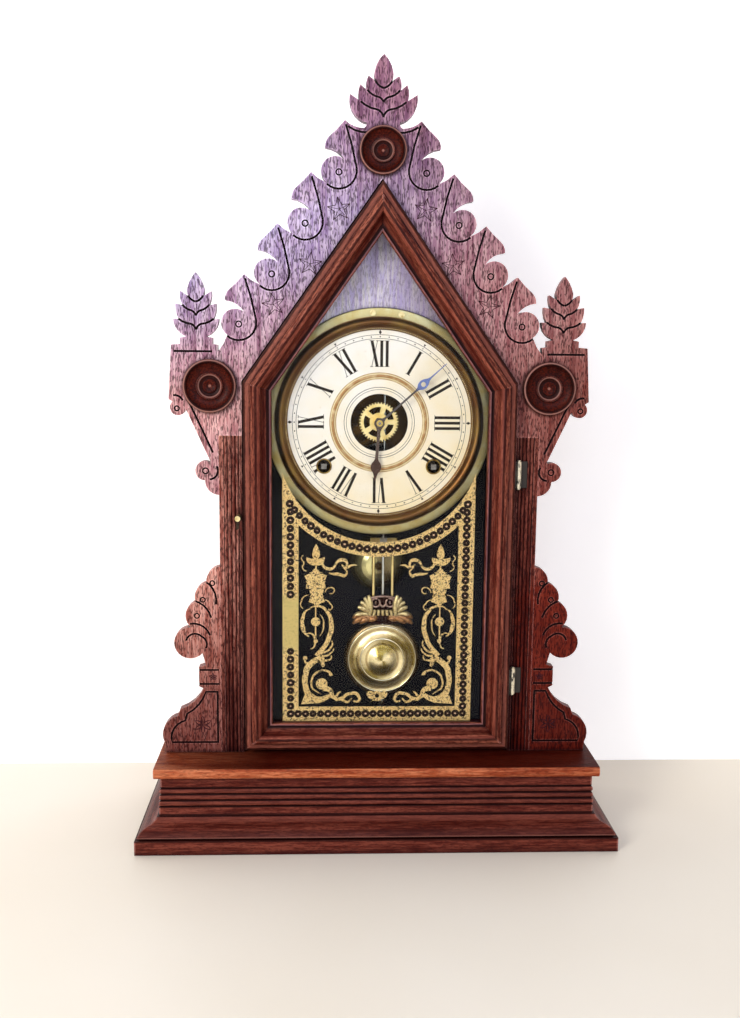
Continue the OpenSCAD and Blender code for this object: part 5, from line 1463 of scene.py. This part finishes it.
class CLOCK_OT_hands(Step, bpy.types.Operator):
    """Cut the two hands and their nut"""
    bl_idname = "clock.hands"
    bl_label = "Hands"

    def make(self, scene):
        brass = scene.clock_brass
        blued = self.hand_steel("blued steel hand", linear("#5a5250"), brass.blued, 40 * MM)
        browned = self.hand_steel("browned steel hand", linear("#5c4c44"), brass.browned, 28 * MM)
        self.hand("minute_hand", self.minute_outlines(), 48, blued, "minute_arbor", "blued_steel")
        self.hand("hour_hand", self.hour_outlines(), 184, browned, "hour_arbor", "blued_steel")
        dress(metal("hand nut brass", brass.bright, brass.worn, 0.25), "hand_nut")

    def hand_steel(self, name, shaft, tip, start):
        """Tempered steel, whose colour changes at a distance from the middle of the dial."""
        material, tree, place = new_material(name)
        away = radius_of(tree, offset_from(tree, place, DIAL))
        clouds = clouded(tree, place, 3, 3)
        colour = blended(tree, ranged(tree, away, start - 2 * MM, start + 2 * MM), shaft, tip)
        colour = darkened(tree, ranged(tree, clouds, 0.45, 0.75, 0.0, 0.7), colour, (0.5, 0.5, 0.5))
        return skinned(material, {"Base Color": colour, "Metallic": 0.6, "Roughness": 0.4})

    def hand(self, node, outlines, clockwise, material, body, slot):
        low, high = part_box(node)
        lines = [spun(moved(line, DIAL_HUB), clockwise, DIAL_HUB) for line in outlines]
        cut = cut_sheet(node + "_cut", lines, low.y, high.y, 0.12 * MM)
        finish(cut, material, body, slot, node)

    def mirrored(self, half, foot_x, foot_z):
        """A hand's edge from its right half and the corner of its foot, in millimetres."""
        left = [[-x, z] for x, z in reversed(half)]
        return mm(half + left + [[-foot_x, foot_z], [foot_x, foot_z]])

    def minute_outlines(self):
        half = [[3.5, -1.0], [3.6, 0.6], [1.6, 3.6], [0.85, 6], [0.75, 38], [1.1, 40.5], [3.1, 43.2],
                [3.6, 46], [2.9, 48.8], [1.2, 51.6], [0.6, 54], [0.22, 70.4]]
        return [self.mirrored(half, 2.0, -3.2), circle(1.75 * MM, count=24),
                circle(1.9 * MM, (0, 46 * MM), 28)]

    def hour_outlines(self):
        half = [[4.0, -0.8], [4.2, 1.4], [2.2, 4.4], [1.35, 7], [1.2, 28.5], [1.9, 30.4], [3.6, 32.4],
                [4.3, 35.2], [3.6, 38], [2.0, 40], [1.5, 41.6], [0.25, 46.2]]
        return [self.mirrored(half, 2.4, -3.8), circle(2.9 * MM, count=28)]


# Movement

class CLOCK_OT_movement(Step, bpy.types.Operator):
    """Finish the plates, wheels, arbors and springs of the movement"""
    bl_idname = "clock.movement"
    bl_label = "Movement"

    def make(self, scene):
        brass = scene.clock_brass
        plate = metal("rolled brass plate", brass.worn, brass.bronze, 0.34, grain=30)
        wheel = metal("wheel brass", brass.bright, brass.worn, 0.3, grain=12)
        steel = metal("bare steel", brass.steel, linear("#5b544c"), 0.32)
        spring = metal("spring steel", linear("#4c4a50"), linear("#6a4a30"), 0.35)
        oily = metal("oil-darkened brass", linear("#4a3416"), linear("#1c1208"), 0.5, grain=12)
        cannon = metal("bright hour wheel", linear("#f0dca0"), brass.bright, 0.42, grain=8)
        dress(oily, "front_plate", "second_wheel", "minute_wheel", "bell_post")
        dress(plate, "back_plate")
        dress(cannon, "hour_wheel")
        dress(wheel, "time_great_wheel", "strike_great_wheel", "third_wheel", "escape_wheel")
        dress(steel, "movement_pillars", "time_winding_arbor", "strike_winding_arbor", "centre_arbor",
              "verge", "suspension_post")
        dress(spring, "mainsprings")
        dress(metal("blackened iron", linear("#1c1a1a"), brass.iron, 0.5), "hammer")


# Pendulum and bell

class CLOCK_OT_pendulum(Step, bpy.types.Operator):
    """Make the pendulum: rods, cast ornament and spun bob"""
    bl_idname = "clock.pendulum"
    bl_label = "Pendulum"

    def make(self, scene):
        brass = scene.clock_brass
        self.rods()
        self.ornament(brass)
        self.bob()

    def rods(self):
        """Two brass rods beside a steel one; one material, as they are one node."""
        material, tree, place = new_material("brass and steel rods")
        parts = parted(tree, place)
        out = apart(tree, parts[0], BOB.x)
        outer = calculated(tree, "GREATER_THAN", out, 3 * MM)
        clouds = noise(tree, stretched(tree, place, 20 * MM, 3 * MM, 3 * MM), 3)
        colour = blended(tree, outer, linear("#d8dcdc"), linear("#f4dc98"))
        colour = blended(tree, ranged(tree, clouds, 0.45, 0.75, 0.0, 0.45), colour, linear("#6b5a40"))
        dress(skinned(material, {"Base Color": colour, "Metallic": 1.0, "Roughness": 0.26}), "pendulum_rod")

    def cast_skin(self, brass, foot):
        """Cast brass: light on the ridges, dark in the hollows with painted shade and patina, and coppery on
        the lower leaves.
        """
        material, tree, place = new_material("cast brass ornament")
        clouds = clouded(tree, place, 2.2, 3, 0.6)
        height = parted(tree, place)[2]
        colour = blended(tree, ranged(tree, height, foot + 6.5 * MM, foot + 4.5 * MM), brass.cast,
                         linear("#a8784a"))
        colour = darkened(tree, ranged(tree, clouds, 0.46, 0.62, 0.0, 0.8), colour, (0.4, 0.32, 0.3))
        # Painted shade and patina in the hollows, close to a neighbouring face
        open_air = add(tree, "ShaderNodeAmbientOcclusion", {"Distance": 2.5 * MM}, samples=6).outputs["AO"]
        colour = blended(tree, ranged(tree, open_air, 0.35, 0.8, 0.92, 0.0), colour, linear("#1c0e0c"))
        return skinned(material, {"Base Color": colour, "Metallic": 0.6, "Roughness": 0.38,
                                  "Normal": bumped(tree, clouds, 0.1 * MM, 0.5)})

    def ornament(self, brass):
        low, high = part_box("pendulum_ornament")
        middle_x, y = (low.x + high.x) / 2, (low.y + high.y) / 2
        foot = low.z
        cast = self.cast_skin(brass, foot)
        scroll = metal("brown cast scroll", linear("#b89a8c"), linear("#6a4c40"), 0.4)
        dark = metal("ground of the ornament", linear("#2c1614"), linear("#140a0c"), 0.5)
        build = bmesh.new()

        def rib(points, radii, lift=0.0, mirror=True):
            """A rounded lobe: points are in millimetres from the middle of the foot."""
            for side in (1, -1) if mirror else (1,):
                path = [Vector((middle_x + side * p[0] * MM, y - lift * MM, foot + p[1] * MM))
                        for p in points]
                sizes = []
                for i in range(len(path)):
                    run = i / (len(path) - 1) * (len(radii) - 1)
                    k = min(int(run), len(radii) - 2)
                    sizes.append((radii[k] + (radii[k + 1] - radii[k]) * (run - k)) * MM)
                tube(build, path, sizes)

        # Volutes: a ring with its boss on either side, under an arched bar
        rib(arc(3.5, -20, 320, 26, (5.9, 16.3)), [0.75, 0.75], 3.6)
        rib(swept([[5.9, 15.2], [5.9, 17.4]]), [0.6, 1.3, 0.6], 3.2)
        rib(swept([[2.0, 15.0, 0.4], [0, 13]]), [0.7, 0.9], 3.4)
        rib(swept([[-9.8, 20.4, 1.3], [9.8, 20.4]], turn=4), [0.8, 0.95, 0.8], 3.8, mirror=False)
        finish(smooth(piece_from(build, "ornament_volutes"), 60), scroll, "pendulum", "polished_brass")
        # Upright side leaves of blunt lobes
        build = bmesh.new()
        for tip_x, tip_z, bow, lift in ((12.0, 22.4, 0.9, 3.4), (15.4, 20.4, 1.6, 3.0),
                                        (18.4, 16.4, 2.0, 2.2), (20.6, 11.8, 1.6, 1.4)):
            rib(swept([[10.6, 6.4, bow], [tip_x, tip_z]], turn=6), [1.6, 2.3, 2.5, 2.2, 1.2], lift)
        # Scalloped fringe across the middle
        for x in (0, 3.6, 7.2, 10.4):
            rib(swept([[0.9 * x, 10.2], [1.04 * x, 5.6]], turn=4), [1.5, 2.1, 2.0, 1.3], 3.4, mirror=x > 0)
        # Broad lower leaves that droop along the bob's rim
        for mid_x, mid_z, tip_x, tip_z, lift in ((17, 6.6, 24.6, 2.4, 1.4), (16, 3.6, 24.4, -1.8, 2.2),
                                                 (12, 2.6, 18.6, -1.4, 2.6), (6, 2.4, 11.6, 0.6, 2.6)):
            rib(swept([[6.4, 5.6], [mid_x, mid_z, 0.8], [tip_x, tip_z]], turn=5), [1.6, 2.4, 2.5, 2.1, 1.0],
                lift)
        finish(smooth(piece_from(build, "ornament_cast"), 60), cast, "pendulum", "polished_brass",
               "pendulum_ornament")
        # Ground between the lobes
        build = bmesh.new()
        ground = [[0, -2], [9, -2], [19, 0.6], [16, 8], [14.4, 16], [11, 20.2], [0, 21.2]]
        outline = [Vector((middle_x + x * MM, foot + z * MM)) for x, z in ground]
        outline += [Vector((middle_x - x * MM, foot + z * MM)) for x, z in reversed(ground[1:-1])]
        prism(build, outline, y - 2.4 * MM, y + 1.6 * MM)
        finish(piece_from(build, "ornament_ground"), dark, "pendulum", "polished_brass")

    def spun_brass(self):
        """Spun brass with painted light: bright wedges of painted highlight across the lathe lines, a rim
        darkened by painted shade and two thin rings of painted highlight.
        """
        material, tree, place = new_material("spun brass bob")
        from_hub = offset_from(tree, place, BOB)
        parts = parted(tree, from_hub)
        radius = radius_of(tree, from_hub)
        angle = calculated(tree, "ARCTAN2", parts[2], parts[0])
        clouds = clouded(tree, place, 9, 3)
        turn = plus(tree, times(tree, angle, 2.0), times(tree, radius, 1.0 / (6 * MM)))
        wedge_highlight = plus(tree, calculated(tree, "SINE", turn), ranged(tree, clouds, 0.3, 0.7, -0.5, 0.5))
        colour = blended(tree, ranged(tree, wedge_highlight, -0.9, 0.9), linear("#8a7636"), linear("#fbe9b6"))
        # Painted shade on the rim and painted highlights on two thin rings
        rim = ranged(tree, radius, 28.4 * MM, 29.2 * MM)
        colour = blended(tree, times(tree, rim, 0.8), colour, linear("#5a3c22"))
        for ring in (27.9, 17.8):
            off = apart(tree, radius, ring * MM)
            colour = blended(tree, ranged(tree, off, 0.35 * MM, 0.7 * MM, 0.9, 0.0), colour,
                             linear("#fff6d8"))
        # Painted shade at the bottoms of the spun hollows
        for hollow, half in ((25.2, 1.8), (20.4, 1.9), (13.2, 1.4)):
            off = apart(tree, radius, hollow * MM)
            hollow_shade = ranged(tree, off, 0.4 * half * MM, half * MM, 0.75, 0.0)
            colour = darkened(tree, hollow_shade, colour, (0.42, 0.33, 0.22))
        lines = calculated(tree, "SINE", times(tree, radius, math.tau / (0.9 * MM)))
        return skinned(material, {"Base Color": colour, "Metallic": 0.85, "Roughness": 0.26,
                                  "Normal": bumped(tree, lines, 0.015 * MM, 0.5)})

    def bob(self):
        disc = self.spun_brass()
        low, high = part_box("pendulum_bob")
        radius, rise = (high.x - low.x) / 2 / MM, (high.y - low.y) / MM
        hub = (BOB.x, high.y, BOB.z)
        profile = [(0, 0), (radius - 1.6, 0), (radius, 1.4), (radius, 3.2), (radius - 0.9, 4.6), (29.4, 6.2),
                   (28.7, 6.4), (28.4, 7.3), (27.9, 7.5), (27.4, 7.2), (27.2, 6.4), (25.8, 6.0), (23.6, 6.4),
                   (21.4, 7.4), (19.4, 8.4), (18.6, 8.5), (18.3, 9.2), (17.8, 9.4), (17.3, 9.1), (17.1, 8.4),
                   (15.4, 7.9), (13.4, 7.9), (11.4, 8.6), (9.8, 9.7), (8.4, 10.4), (6.6, 11.4), (4.4, 12.2),
                   (2.2, rise - 0.1), (0, rise)]
        spun_disc = turned("bob_disc", mm(profile), hub, steps=200)
        finish(smooth(spun_disc, 50), disc, "pendulum", "polished_brass", "pendulum_bob")


class CLOCK_OT_bell(Step, bpy.types.Operator):
    """Finish the bell behind the pendulum"""
    bl_idname = "clock.bell"
    bl_label = "Bell"

    def make(self, scene):
        dress(self.bell_brass(), "bell")
        smooth(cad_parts["bell"], 35)

    def bell_brass(self):
        """Bell brass: a painted highlight on the left, and painted shade over brown tarnish on the right."""
        material, tree, place = new_material("bell brass with painted light")
        parts = parted(tree, place)
        clouds = clouded(tree, place, 14, 4, 0.6)
        right = ranged(tree, parts[0], BELL.x - 8 * MM, BELL.x + 20 * MM)
        low = ranged(tree, parts[2], BELL.z + 12 * MM, BELL.z - 8 * MM)
        # Painted shade low on the right over clouds of tarnish; the pale tone is a painted highlight
        tarnish = plus(tree, times(tree, right, low), ranged(tree, clouds, 0.4, 0.7, -0.1, 0.35))
        colour = blended(tree, tarnish, linear("#fff4b0"), linear("#6a4c1c"))
        # Painted shade darkens the bell towards its rim
        out = from_centre(BELL, 1.0)(tree, parts)
        colour = darkened(tree, ranged(tree, out, 9 * MM, 22 * MM, 0.0, 0.95), colour, (0.1, 0.07, 0.04))
        # The dark gap between the rods lies mirrored on the middle of the bell
        off = apart(tree, parts[0], BELL.x + 4 * MM)
        colour = darkened(tree, ranged(tree, off, 5 * MM, 8 * MM, 0.85, 0.0), colour, (0.25, 0.2, 0.2))
        return skinned(material, {"Base Color": colour, "Metallic": 0.7, "Roughness": 0.24})


PIECES = (CLOCK_OT_stage, CLOCK_OT_base, CLOCK_OT_case, CLOCK_OT_facade, CLOCK_OT_rosettes, CLOCK_OT_door,
          CLOCK_OT_iron, CLOCK_OT_tablet, CLOCK_OT_dial, CLOCK_OT_bezel, CLOCK_OT_hands, CLOCK_OT_movement,
          CLOCK_OT_pendulum, CLOCK_OT_bell)


class CLOCK_PT_panel(bpy.types.Panel):
    """Buttons and settings of the clock"""
    bl_idname = "CLOCK_PT_panel"
    bl_label = "Parlor Clock"
    bl_space_type = "VIEW_3D"
    bl_region_type = "UI"
    bl_category = "Clock"

    def draw(self, context):
        for name, kind in SETTINGS.items():
            box = self.layout.box()
            box.label(text=name.replace("clock_", "").title())
            for setting in kind.__annotations__:
                box.prop(getattr(context.scene, name), setting)
        for piece in PIECES:
            self.layout.operator(piece.bl_idname)


CLASSES = tuple(SETTINGS.values()) + PIECES + (CLOCK_PT_panel,)


def register():
    for kind in CLASSES:
        bpy.utils.register_class(kind)
    for name, kind in SETTINGS.items():
        setattr(bpy.types.Scene, name, PointerProperty(type=kind))


def unregister():
    for name in SETTINGS:
        delattr(bpy.types.Scene, name)
    for kind in reversed(CLASSES):
        bpy.utils.unregister_class(kind)


def main():
    register()
    for piece in PIECES:
        getattr(bpy.ops.clock, piece.bl_idname.split(".")[1])()


if __name__ == "__main__":
    main()
